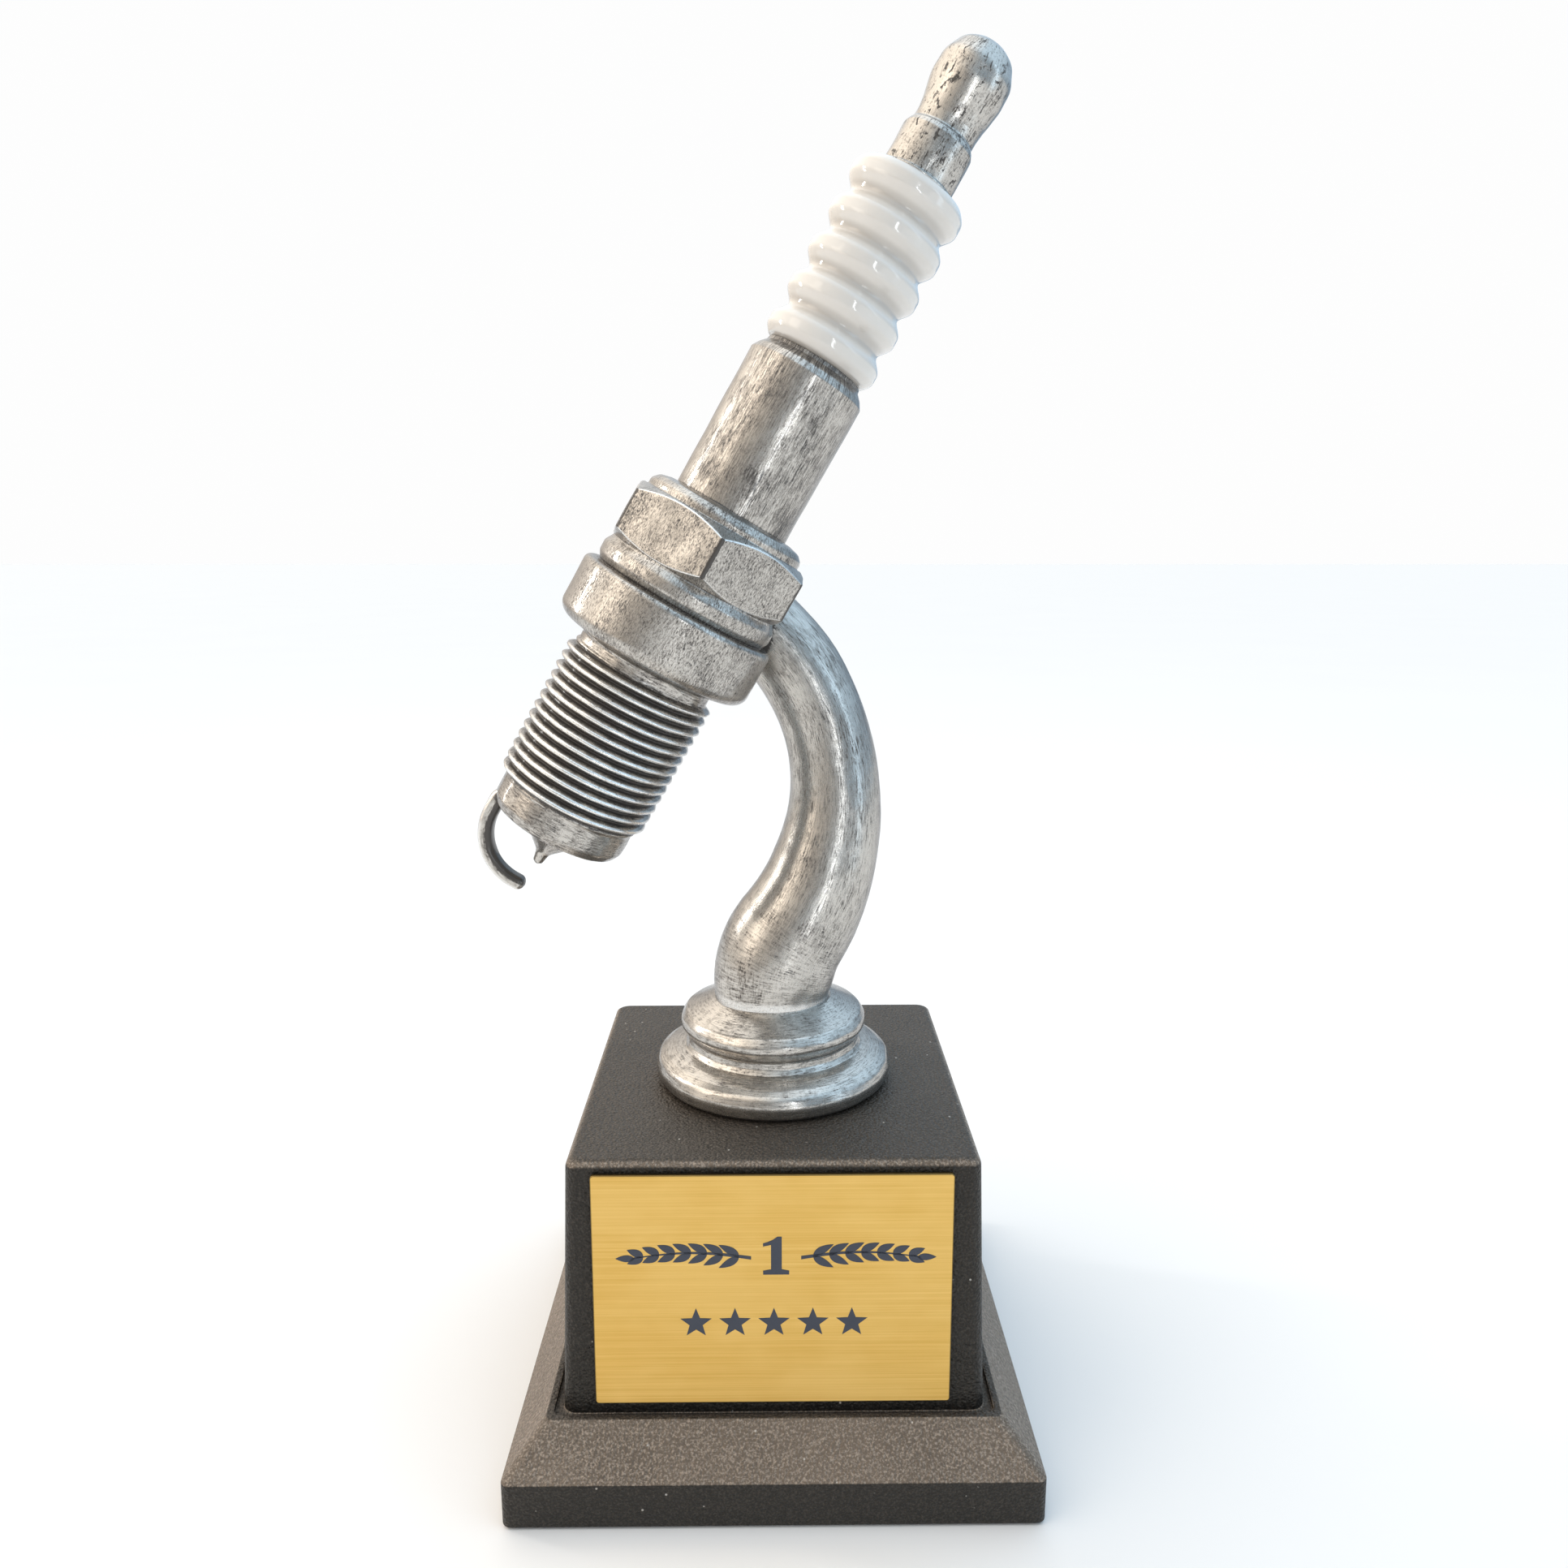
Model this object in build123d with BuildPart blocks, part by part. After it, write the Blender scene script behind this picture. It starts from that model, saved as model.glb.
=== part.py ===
from build123d import *
import os
from math import cos, radians, sin

# An award figure: an oversized spark plug, leaning on a curved stem over a round pedestal, on a weighted
# square base. Millimetres, +Z up, +X to the right of the front, -Y towards the front.
# The origin is the centre of the felt's resting face.

# ---------------------------------------------------------------- driving dimensions
PLATE_WIDTH, PLATE_HEIGHT, PLATE_THICK = 63.5, 43.7, 0.8
TAPE_THICK, TAPE_INSET = 0.4, 1.0

FELT_THICK = 1.0
SHELL_FOOT = 0.4  # height of the shell's lower edge over the resting face
PLINTH_SIDE, PLINTH_BAND_TOP = 95.6, 8.8
LEDGE_SIDE, LEDGE_TOP, LEDGE_SUNK, LEDGE_RIM = 81.7, 16.3, 1.0, 1.2
BLOCK_FOOT_SIDE, BLOCK_TOP_SIDE, BLOCK_TOP = 76.3, 73.2, 63.7
WALL = 2.5

ROD_RADIUS, ROD_CLEARANCE = 3.0, 0.08
BOSS_RADIUS, BOSS_FOOT = 8.0, 12.0

STEM_LEAN = 5.3  # degrees backwards
PLUG_TILT = 30.1  # degrees from upright, towards +X
PLUG_PLACE = (-10.2, -8.0, 170.0)  # station zero on the plug's axis
CORE_RADIUS, CORE_FIT = 3.0, 0.05

# Stations along the plug's axis, from the nose upwards
NOSE_END, DISH_DEPTH = -61.4, 1.4
THREAD_FOOT, THREAD_PITCH, THREAD_RIDGES = -55.2, 2.1, 13
COLLAR_FOOT, COLLAR_TOP = -24.4, -13.0
RING_TOP, HEX_TOP, WASHER_TOP = -8.0, 2.8, 5.7
BARREL_TOP, CRIMP_TOP = 32.2, 35.2
RIB_FIRST, RIB_PITCH, RIB_COUNT = 38.0, 7.0, 5
INSULATOR_TOP, CAP_TOP = 68.4, 93.7

# Radii along the plug
NOSE_RADIUS, THREAD_ROOT, THREAD_CREST = 13.1, 13.0, 14.6
COLLAR_RADIUS, RING_RADIUS, HEX_CORNER = 19.05, 17.4, 19.1
HEX_TURN = 5.5  # degrees from the front to the nearest corner
BARREL_RADIUS, CRIMP_RADIUS = 11.05, 9.1
RIB_CREST, RIB_VALLEY = 10.65, 9.0

# ---------------------------------------------------------------- frames and shared helpers
tilt = radians(PLUG_TILT)
plug_axis = Axis(PLUG_PLACE, (sin(tilt), 0, cos(tilt)))
plug_frame = Plane(origin=PLUG_PLACE, x_dir=(cos(tilt), 0, -sin(tilt)), z_dir=(sin(tilt), 0, cos(tilt)))
plug_section = Plane(origin=PLUG_PLACE, x_dir=(cos(tilt), 0, -sin(tilt)), z_dir=(0, -1, 0))


def turn(points, section=plug_section, axis=plug_axis, mode=Mode.ADD):
    """Revolve a closed outline of (radius, height) points."""
    with BuildSketch(section) as outline:
        with BuildLine():
            Polyline(*points, close=True)
        make_face()
    revolve(outline.sketch, axis=axis, mode=mode)


def bore(radius, foot, top):
    """Cut a straight hole along the plug's axis between two stations."""
    with BuildSketch(plug_frame.offset(foot)) as mouth:
        Circle(radius)
    extrude(mouth.sketch, amount=top - foot, mode=Mode.SUBTRACT)


def finish(piece, label):
    """Name a finished piece and write it."""
    piece.part.label = label
    export_step(piece.part, f"parts/{label}.step")


os.makedirs("parts", exist_ok=True)

# ---------------------------------------------------------------- the plug, from the nose upwards
CORE_FOOT, CORE_TOP = -50.0, 84.0
SPIGOT_RADIUS, SPIGOT_HEIGHT = 8.0, 4.0
RING_SEAT_RADIUS = 13.0

with BuildPart() as core_rod:
    with BuildSketch(plug_frame.offset(CORE_FOOT)):
        Circle(CORE_RADIUS)
    extrude(amount=CORE_TOP - CORE_FOOT)
finish(core_rod, "core_rod")

# Ground electrode: a flat bar that leaves the nose's rim and curls under the centre electrode
BAR_THICK, BAR_WIDTH, BAR_OFFSET, BAR_FOOT = 3.0, 4.2, -12.1, -59.2
HOOK_STRAIGHT, HOOK_BEND, HOOK_TAIL = 5.2, 10.0, 2.2
BAR_CORNER, HOOK_END_ROUND = 1.2, 0.9
with BuildPart() as ground_electrode:
    with BuildLine(plug_section):
        bar_start = (BAR_OFFSET, BAR_FOOT)
        bar_run = Line(bar_start, (BAR_OFFSET, BAR_FOOT - HOOK_STRAIGHT))
        bar_bend = JernArc(bar_run @ 1, bar_run % 1, HOOK_BEND, 90)
        Line(bar_bend @ 1, bar_bend @ 1 + HOOK_TAIL * (bar_bend % 1))
    with BuildSketch(plug_frame.offset(BAR_FOOT)):
        with Locations((BAR_OFFSET, 0)):
            RectangleRounded(BAR_THICK, BAR_WIDTH, BAR_CORNER)
    sweep()
    across_plug = Axis((0, 0, 0), plug_frame.x_dir)
    hook_end = ground_electrode.faces().filter_by(GeomType.PLANE).sort_by(across_plug)[-1]
    fillet(hook_end.edges(), HOOK_END_ROUND)
finish(ground_electrode, "ground_electrode")

# Centre electrode: a flared cone with a shank in the nose
TIP_STATION, TIP_RADIUS, CONE_RADIUS, CONE_STATION, FLARE_RADIUS = -70.0, 0.9, 1.9, -66.2, 4.8
FLARE_ARC, TIP_CHAMFER = 7.0, 0.4
SHANK_RADIUS, SHANK_DEPTH = 2.0, 8.0
dish_floor = NOSE_END + DISH_DEPTH
with BuildPart() as centre_electrode:
    with BuildSketch(plug_section):
        with BuildLine():
            flare = RadiusArc((FLARE_RADIUS, dish_floor), (CONE_RADIUS, CONE_STATION), FLARE_ARC)
            Polyline(
                flare @ 1, (TIP_RADIUS, TIP_STATION + TIP_CHAMFER), (TIP_RADIUS - TIP_CHAMFER, TIP_STATION),
                (0, TIP_STATION),
                (0, dish_floor + SHANK_DEPTH), (SHANK_RADIUS, dish_floor + SHANK_DEPTH),
                (SHANK_RADIUS, dish_floor), flare @ 0,
            )
        make_face()
    revolve(axis=plug_axis)
finish(centre_electrode, "centre_electrode")

# Threaded nose, with a plain pilot below the thread and a spigot into the collar
RIDGE_WIDTH, RIDGE_CREST_HALF, RIDGE_CREST_DROP, RIDGE_RUNOUT = 1.7, 0.3, 0.35, 0.3
DISH_RADIUS, RIM_INNER, RIM_OUTER = 9.7, 10.3, 11.5
with BuildPart() as threaded_nose:
    ridges = []
    for ridge in range(THREAD_RIDGES):
        foot = THREAD_FOOT + ridge * THREAD_PITCH
        middle = foot + RIDGE_WIDTH / 2
        ridges += [
            (THREAD_ROOT, foot), (THREAD_CREST - RIDGE_CREST_DROP, middle - RIDGE_CREST_HALF),
            (THREAD_CREST, middle), (THREAD_CREST - RIDGE_CREST_DROP, middle + RIDGE_CREST_HALF),
            (THREAD_ROOT, foot + RIDGE_WIDTH),
        ]
    turn(
        [(0, dish_floor), (DISH_RADIUS, dish_floor), (RIM_INNER, NOSE_END), (RIM_OUTER, NOSE_END),
         (RIM_OUTER + 0.9, NOSE_END + 0.4), (NOSE_RADIUS - 0.15, NOSE_END + 1.5),
         (NOSE_RADIUS, NOSE_END + 2.6), (NOSE_RADIUS, THREAD_FOOT - RIDGE_RUNOUT)]
        + ridges
        + [(NOSE_RADIUS, ridges[-1][1] + RIDGE_RUNOUT), (NOSE_RADIUS, COLLAR_FOOT),
           (SPIGOT_RADIUS, COLLAR_FOOT), (SPIGOT_RADIUS, COLLAR_FOOT + SPIGOT_HEIGHT),
           (0, COLLAR_FOOT + SPIGOT_HEIGHT)]
    )
    bore(CORE_RADIUS + CORE_FIT, CORE_FOOT, COLLAR_FOOT + SPIGOT_HEIGHT)
    bore(SHANK_RADIUS + CORE_FIT, dish_floor, dish_floor + SHANK_DEPTH)
    add(ground_electrode.part, mode=Mode.SUBTRACT)
finish(threaded_nose, "threaded_nose")

# Seat collar, with its edges rounded
COLLAR_EDGE, COLLAR_TOP_EDGE = 2.6, 1.3
with BuildPart() as seat_collar:
    with BuildSketch(plug_frame.offset(COLLAR_FOOT)):
        Circle(COLLAR_RADIUS)
    extrude(amount=COLLAR_TOP - COLLAR_FOOT)
    fillet(seat_collar.edges().filter_by(GeomType.CIRCLE).sort_by(plug_axis)[0], COLLAR_EDGE)
    fillet(seat_collar.edges().filter_by(GeomType.CIRCLE).sort_by(plug_axis)[-1], COLLAR_TOP_EDGE)
    bore(SPIGOT_RADIUS + CORE_FIT, COLLAR_FOOT, COLLAR_FOOT + SPIGOT_HEIGHT)
    bore(CORE_RADIUS + CORE_FIT, COLLAR_FOOT, COLLAR_TOP)
finish(seat_collar, "seat_collar")

# Ring held between the collar and the hexagon
RING_CHAMFER, RING_ROUND = 1.2, 0.9
with BuildPart() as groove_ring:
    seat = RING_SEAT_RADIUS + CORE_FIT
    shoulder_radius = RING_RADIUS - RING_CHAMFER
    turn([(seat, COLLAR_TOP), (shoulder_radius, COLLAR_TOP), (RING_RADIUS, COLLAR_TOP + RING_CHAMFER),
          (RING_RADIUS, RING_TOP - RING_CHAMFER), (shoulder_radius, RING_TOP), (seat, RING_TOP)])
    rims = groove_ring.edges().filter_by(GeomType.CIRCLE)
    fillet(rims.filter_by(lambda rim: rim.radius > shoulder_radius + 0.1), RING_ROUND)
finish(groove_ring, "groove_ring")

# Dowel from the stem's end into the back of the hexagon
DOWEL_RADIUS, DOWEL_OFFSET, DOWEL_STATION, DOWEL_BACK, DOWEL_FRONT = 2.5, 12.5, -5.2, 12.0, -4.0
dowel_place = plug_frame.from_local_coords((DOWEL_OFFSET, 0, DOWEL_STATION))
with BuildPart() as stem_dowel:
    with BuildSketch(Plane(origin=(dowel_place.X, DOWEL_BACK, dowel_place.Z), z_dir=(0, -1, 0))):
        Circle(DOWEL_RADIUS)
    extrude(amount=DOWEL_BACK - DOWEL_FRONT)
finish(stem_dowel, "stem_dowel")

# Hexagon, turned at both ends, with its rounded washer face above and the ring's seat below
TURNING_SLOPE, TURNING_ROOM = 0.75, 0.1
SHOULDER_RADIUS, SHOULDER_BULGE = 15.2, (14.7, 1.9)
with BuildPart() as hex_section:
    with BuildSketch(plug_frame.offset(RING_TOP)):
        RegularPolygon(HEX_CORNER, 6, rotation=HEX_TURN - 90)
    extrude(amount=HEX_TOP - RING_TOP)
    across = HEX_CORNER * cos(radians(30))
    drop = (HEX_CORNER - across) * TURNING_SLOPE
    turning_radius = HEX_CORNER + TURNING_ROOM
    turn([(0, RING_TOP), (across - 0.3, RING_TOP), (turning_radius, RING_TOP + drop),
          (turning_radius, HEX_TOP - drop), (across - 0.5, HEX_TOP), (0, HEX_TOP)], mode=Mode.INTERSECT)
    with BuildSketch(plug_section):
        with BuildLine():
            shoulder = Polyline(
                (SHOULDER_RADIUS, HEX_TOP), (0, HEX_TOP), (0, WASHER_TOP), (BARREL_RADIUS + 0.9, WASHER_TOP))
            ThreePointArc(
                shoulder @ 1, (SHOULDER_BULGE[0], HEX_TOP + SHOULDER_BULGE[1]), (SHOULDER_RADIUS, HEX_TOP))
        make_face()
    revolve(axis=plug_axis)
    with BuildSketch(plug_frame.offset(COLLAR_TOP)):
        Circle(RING_SEAT_RADIUS)
    extrude(amount=RING_TOP - COLLAR_TOP)
    bore(CORE_RADIUS + CORE_FIT, COLLAR_TOP, WASHER_TOP)
    bore(SPIGOT_RADIUS + CORE_FIT, WASHER_TOP - SPIGOT_HEIGHT, WASHER_TOP)
    add(stem_dowel.part, mode=Mode.SUBTRACT)
finish(hex_section, "hex_section")

# Smooth barrel, chamfered and crimped in at its top
with BuildPart() as plug_barrel:
    turn([(0, WASHER_TOP - SPIGOT_HEIGHT), (SPIGOT_RADIUS, WASHER_TOP - SPIGOT_HEIGHT),
          (SPIGOT_RADIUS, WASHER_TOP), (BARREL_RADIUS, WASHER_TOP), (BARREL_RADIUS, BARREL_TOP),
          (BARREL_RADIUS - 0.35, BARREL_TOP + 0.35), (BARREL_RADIUS - 0.9, BARREL_TOP + 1.2),
          (CRIMP_RADIUS + 0.2, CRIMP_TOP - 1.1), (CRIMP_RADIUS, CRIMP_TOP), (0, CRIMP_TOP)])
    bore(CORE_RADIUS + CORE_FIT, WASHER_TOP - SPIGOT_HEIGHT, CRIMP_TOP)
finish(plug_barrel, "plug_barrel")

# Ribbed insulator: round crests joined by hollow valleys
CREST_HALF, CREST_HEIGHT, TOP_NECK = 1.9, 0.75, 0.4
with BuildPart() as ribbed_insulator:
    with BuildSketch(plug_section):
        with BuildLine():
            start = (RIB_VALLEY, CRIMP_TOP)
            Polyline((RIB_VALLEY - TOP_NECK, INSULATOR_TOP), (0, INSULATOR_TOP), (0, CRIMP_TOP), start)
            for rib in range(RIB_COUNT):
                crest = RIB_FIRST + rib * RIB_PITCH
                foot_point = (RIB_CREST - CREST_HEIGHT, crest - CREST_HALF)
                head_point = (RIB_CREST - CREST_HEIGHT, crest + CREST_HALF)
                if rib == 0:
                    Line(start, foot_point)
                ThreePointArc(foot_point, (RIB_CREST, crest), head_point)
                if rib < RIB_COUNT - 1:
                    next_foot = (RIB_CREST - CREST_HEIGHT, crest + RIB_PITCH - CREST_HALF)
                    ThreePointArc(head_point, (RIB_VALLEY, crest + RIB_PITCH / 2), next_foot)
                else:
                    Line(head_point, (RIB_VALLEY - TOP_NECK, INSULATOR_TOP))
        make_face()
    revolve(axis=plug_axis)
    bore(CORE_RADIUS + CORE_FIT, CRIMP_TOP, INSULATOR_TOP)
finish(ribbed_insulator, "ribbed_insulator")

# Terminal cap: a flange, a cylinder, a waist and a domed bulb
CAP_FLANGE_RADIUS, CAP_SLEEVE_RADIUS, CAP_WAIST_RADIUS = 7.4, 6.6, 5.75
with BuildPart() as terminal_cap:
    with BuildSketch(plug_section):
        with BuildLine():
            base_lines = Polyline(
                (0, CAP_TOP), (0, INSULATOR_TOP), (CAP_FLANGE_RADIUS, INSULATOR_TOP),
                (CAP_FLANGE_RADIUS, INSULATOR_TOP + 0.9), (CAP_SLEEVE_RADIUS + 0.1, INSULATOR_TOP + 1.2),
                (CAP_SLEEVE_RADIUS, INSULATOR_TOP + 8.1), (CAP_SLEEVE_RADIUS - 0.4, INSULATOR_TOP + 8.9),
                (CAP_WAIST_RADIUS, INSULATOR_TOP + 9.4),
            )
            bulb = Spline(
                base_lines @ 1, (5.85, 81.4), (6.75, 86.8), (6.2, 90.2), (4.9, 92.2), (2.9, CAP_TOP - 0.45),
                (0, CAP_TOP), tangents=((-0.1, 1), (-1, 0)),
            )
        make_face()
    revolve(axis=plug_axis)
    bore(CORE_RADIUS + CORE_FIT, INSULATOR_TOP, CORE_TOP)
finish(terminal_cap, "terminal_cap")

# ---------------------------------------------------------------- stem
# The stem's line lies in a plane that leans back. It bends to the right on a tight arc, back to upright
# on a wide one, and then up to the left behind the plug.
PEDESTAL_TOP, STEM_SHIFT = 80.5, -0.4
FIRST_BEND, FIRST_TURN = 22.5, 34.5
SECOND_BEND = 50.0
THIRD_BEND, THIRD_TURN = 44.0, 48.0
STEM_TAIL, STEM_END_ROUND = 9.0, 5.5
# Radius of the stem at shares of its length
STEM_SECTIONS = (
    (0, 11.3), (0.04, 12.0), (0.1, 12.1), (0.2, 11.4), (0.3, 10.55), (0.4, 9.7), (0.5, 8.9), (0.6, 8.4),
    (0.7, 8.3), (0.85, 8.3), (1, 8.3),
)
SADDLE_RADIUS = 15.0
ARMATURE_RADIUS, ARMATURE_ROOT, ARMATURE_LAST_TURN = 2.0, 3.5, 34.0

lean = radians(STEM_LEAN)
stem_section = Plane(
    origin=(STEM_SHIFT, 0, PEDESTAL_TOP), x_dir=(1, 0, 0), z_dir=(0, -cos(lean), sin(lean))
)

with BuildPart() as stem_armature:
    with BuildLine(stem_section):
        armature_root = Line((0, -ARMATURE_ROOT), (0, 0))
        armature_first = JernArc(armature_root @ 1, (0, 1), FIRST_BEND, -FIRST_TURN)
        armature_second = JernArc(armature_first @ 1, armature_first % 1, SECOND_BEND, FIRST_TURN)
        JernArc(armature_second @ 1, armature_second % 1, THIRD_BEND, ARMATURE_LAST_TURN)
    with BuildSketch(Plane(origin=armature_root @ 0, z_dir=armature_root % 0)):
        Circle(ARMATURE_RADIUS)
    sweep()
finish(stem_armature, "stem_armature")

with BuildPart() as curved_stem:
    with BuildLine(stem_section) as stem_line:
        first_arc = JernArc((0, 0), (0, 1), FIRST_BEND, -FIRST_TURN)
        second_arc = JernArc(first_arc @ 1, first_arc % 1, SECOND_BEND, FIRST_TURN)
        third_arc = JernArc(second_arc @ 1, second_arc % 1, THIRD_BEND, THIRD_TURN)
        Line(third_arc @ 1, third_arc @ 1 + STEM_TAIL * (third_arc % 1))
    stem_wire = stem_line.wires()[0]
    for share, radius in STEM_SECTIONS:
        slice_plane = Plane(origin=stem_wire @ share, x_dir=stem_section.z_dir, z_dir=stem_wire % share)
        if share == 0:
            slice_plane = Plane(origin=stem_wire @ 0, x_dir=(0, -1, 0), z_dir=(0, 0, 1))
        with BuildSketch(slice_plane):
            Circle(radius)
    loft()
    fillet(curved_stem.faces().filter_by(GeomType.PLANE).sort_by(Axis.Z)[-1].edges(), STEM_END_ROUND)
    for plug_piece in (seat_collar, groove_ring, hex_section):
        add(plug_piece.part, mode=Mode.SUBTRACT)
    bore(SADDLE_RADIUS, COLLAR_FOOT, HEX_TOP)
    add(stem_armature.part, mode=Mode.SUBTRACT)
    add(stem_dowel.part, mode=Mode.SUBTRACT)
finish(curved_stem, "curved_stem")

# ---------------------------------------------------------------- pedestal and what clamps it to the base
pedestal_section = Plane.XZ
upright = Axis((0, 0, 0), (0, 0, 1))
FLANGE_RADIUS, NECK_RADIUS, ROLL_RADIUS = 23.7, 17.0, 18.5
INSERT_RADIUS, INSERT_FLANGE_RADIUS, INSERT_FLANGE_THICK, INSERT_HEIGHT = 5.0, 6.5, 1.2, 11.3
INSERT_CHAMFER = 0.6
ROD_FOOT, ROD_REACH, ROD_CHAMFER = 2.4, 10.0, 0.5
THREAD_GAP, WASHER_GAP, SPRING_BORE_GAP = 0.02, 0.2, 0.15  # radial, round the rod
WASHER_RADIUS, WASHER_THICK = 8.5, 1.2
SPRING_RADIUS, SPRING_THICK, SPRING_GAP = 5.3, 1.6, 1.0
NUT_FLATS, NUT_HEIGHT = 10.0, 5.0

with BuildPart() as threaded_insert:
    insert_top = BLOCK_TOP + INSERT_HEIGHT
    turn([(ROD_RADIUS + THREAD_GAP, BLOCK_TOP), (INSERT_FLANGE_RADIUS, BLOCK_TOP),
          (INSERT_FLANGE_RADIUS, BLOCK_TOP + INSERT_FLANGE_THICK),
          (INSERT_RADIUS, BLOCK_TOP + INSERT_FLANGE_THICK), (INSERT_RADIUS, insert_top - INSERT_CHAMFER),
          (INSERT_RADIUS - INSERT_CHAMFER, insert_top), (ROD_RADIUS + THREAD_GAP, insert_top)],
         pedestal_section, upright)
finish(threaded_insert, "threaded_insert")

with BuildPart() as pedestal:
    with BuildSketch(pedestal_section) as pedestal_outline:
        with BuildLine():
            flange = ThreePointArc(
                (22.4, BLOCK_TOP), (FLANGE_RADIUS, BLOCK_TOP + 3.0), (22.3, BLOCK_TOP + 5.5))
            cove = Polyline(flange @ 1, (20.0, BLOCK_TOP + 6.5), (17.9, BLOCK_TOP + 7.2))
            neck = ThreePointArc(cove @ 1, (NECK_RADIUS, BLOCK_TOP + 8.4), (17.1, BLOCK_TOP + 9.7))
            roll = ThreePointArc(neck @ 1, (ROLL_RADIUS, BLOCK_TOP + 12.1), (17.0, BLOCK_TOP + 14.4))
            Polyline(
                roll @ 1, (16.3, BLOCK_TOP + 14.5), (12.6, PEDESTAL_TOP - 0.4), (11.8, PEDESTAL_TOP),
                (0, PEDESTAL_TOP), (0, BLOCK_TOP), flange @ 0,
            )
        make_face()
    revolve(pedestal_outline.sketch, axis=upright)
    turn([(0, BLOCK_TOP), (INSERT_FLANGE_RADIUS, BLOCK_TOP),
          (INSERT_FLANGE_RADIUS, BLOCK_TOP + INSERT_FLANGE_THICK),
          (INSERT_RADIUS, BLOCK_TOP + INSERT_FLANGE_THICK), (INSERT_RADIUS, insert_top), (0, insert_top)],
         pedestal_section, upright, Mode.SUBTRACT)
    add(stem_armature.part, mode=Mode.SUBTRACT)
finish(pedestal, "pedestal")

with BuildPart() as threaded_rod:
    with BuildSketch(Plane.XY.offset(ROD_FOOT)):
        Circle(ROD_RADIUS)
    extrude(amount=BLOCK_TOP + ROD_REACH - ROD_FOOT)
    chamfer(threaded_rod.edges().filter_by(GeomType.CIRCLE), ROD_CHAMFER)
finish(threaded_rod, "threaded_rod")

with BuildPart() as flat_washer:
    with BuildSketch(Plane.XY.offset(BOSS_FOOT - WASHER_THICK)):
        Circle(WASHER_RADIUS)
        Circle(ROD_RADIUS + WASHER_GAP, mode=Mode.SUBTRACT)
    extrude(amount=WASHER_THICK)
finish(flat_washer, "flat_washer")

with BuildPart() as lock_washer:
    with BuildSketch(Plane.XY.offset(BOSS_FOOT - WASHER_THICK - SPRING_THICK)):
        Circle(SPRING_RADIUS)
        Circle(ROD_RADIUS + SPRING_BORE_GAP, mode=Mode.SUBTRACT)
        with Locations((SPRING_RADIUS, 0)):
            Rectangle(2 * SPRING_RADIUS - ROD_RADIUS, SPRING_GAP, mode=Mode.SUBTRACT)
    extrude(amount=SPRING_THICK)
finish(lock_washer, "lock_washer")

with BuildPart() as hex_nut:
    nut_foot = BOSS_FOOT - WASHER_THICK - SPRING_THICK - NUT_HEIGHT
    with BuildSketch(Plane.XY.offset(nut_foot)):
        RegularPolygon(NUT_FLATS / 2, 6, major_radius=False)
        Circle(ROD_RADIUS + THREAD_GAP, mode=Mode.SUBTRACT)
    extrude(amount=NUT_HEIGHT)
finish(hex_nut, "hex_nut")

# ---------------------------------------------------------------- weighted base
COVER_THICK, COVER_GAP, COVER_HOLE_RADIUS = 3.0, 0.4, 13.0
POST_SPACING, POST_RADIUS, POST_TOP = 80.0, 3.2, 13.0
SCREW_RADIUS, SCREW_HEAD_RADIUS, SCREW_HEAD_HEIGHT, SCREW_TOP = 1.45, 2.8, 1.4, 10.8
SCREW_POINT, SCREW_ROOM = 1.2, 0.4
CAVITY_SLOPE_TOP, CAVITY_SKIRT_TOP, CAVITY_CORNER, SHOULDER_WALL = 13.0, 8.0, 1.0, 3.0
BLOCK_CORNER, PLINTH_CORNER, BLOCK_TOP_ROUND = 2.2, 1.6, 1.7
RIB_THICK, RIB_FOOT = 2.0, 50.0
WEIGHT_SIDE, WEIGHT_FOOT, WEIGHT_TOP, WEIGHT_CORNER, WEIGHT_GAP = 66.0, 16.0, 49.0, 3.0, 0.6


def frustum(foot_side, foot, top_side, top, corner, mode=Mode.ADD):
    """Loft between two rounded squares."""
    faces = []
    for side, height in ((foot_side, foot), (top_side, top)):
        with BuildSketch(Plane.XY.offset(height)) as ring:
            RectangleRounded(side, side, corner)
        faces.append(ring.sketch)
    loft(faces, mode=mode)


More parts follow.
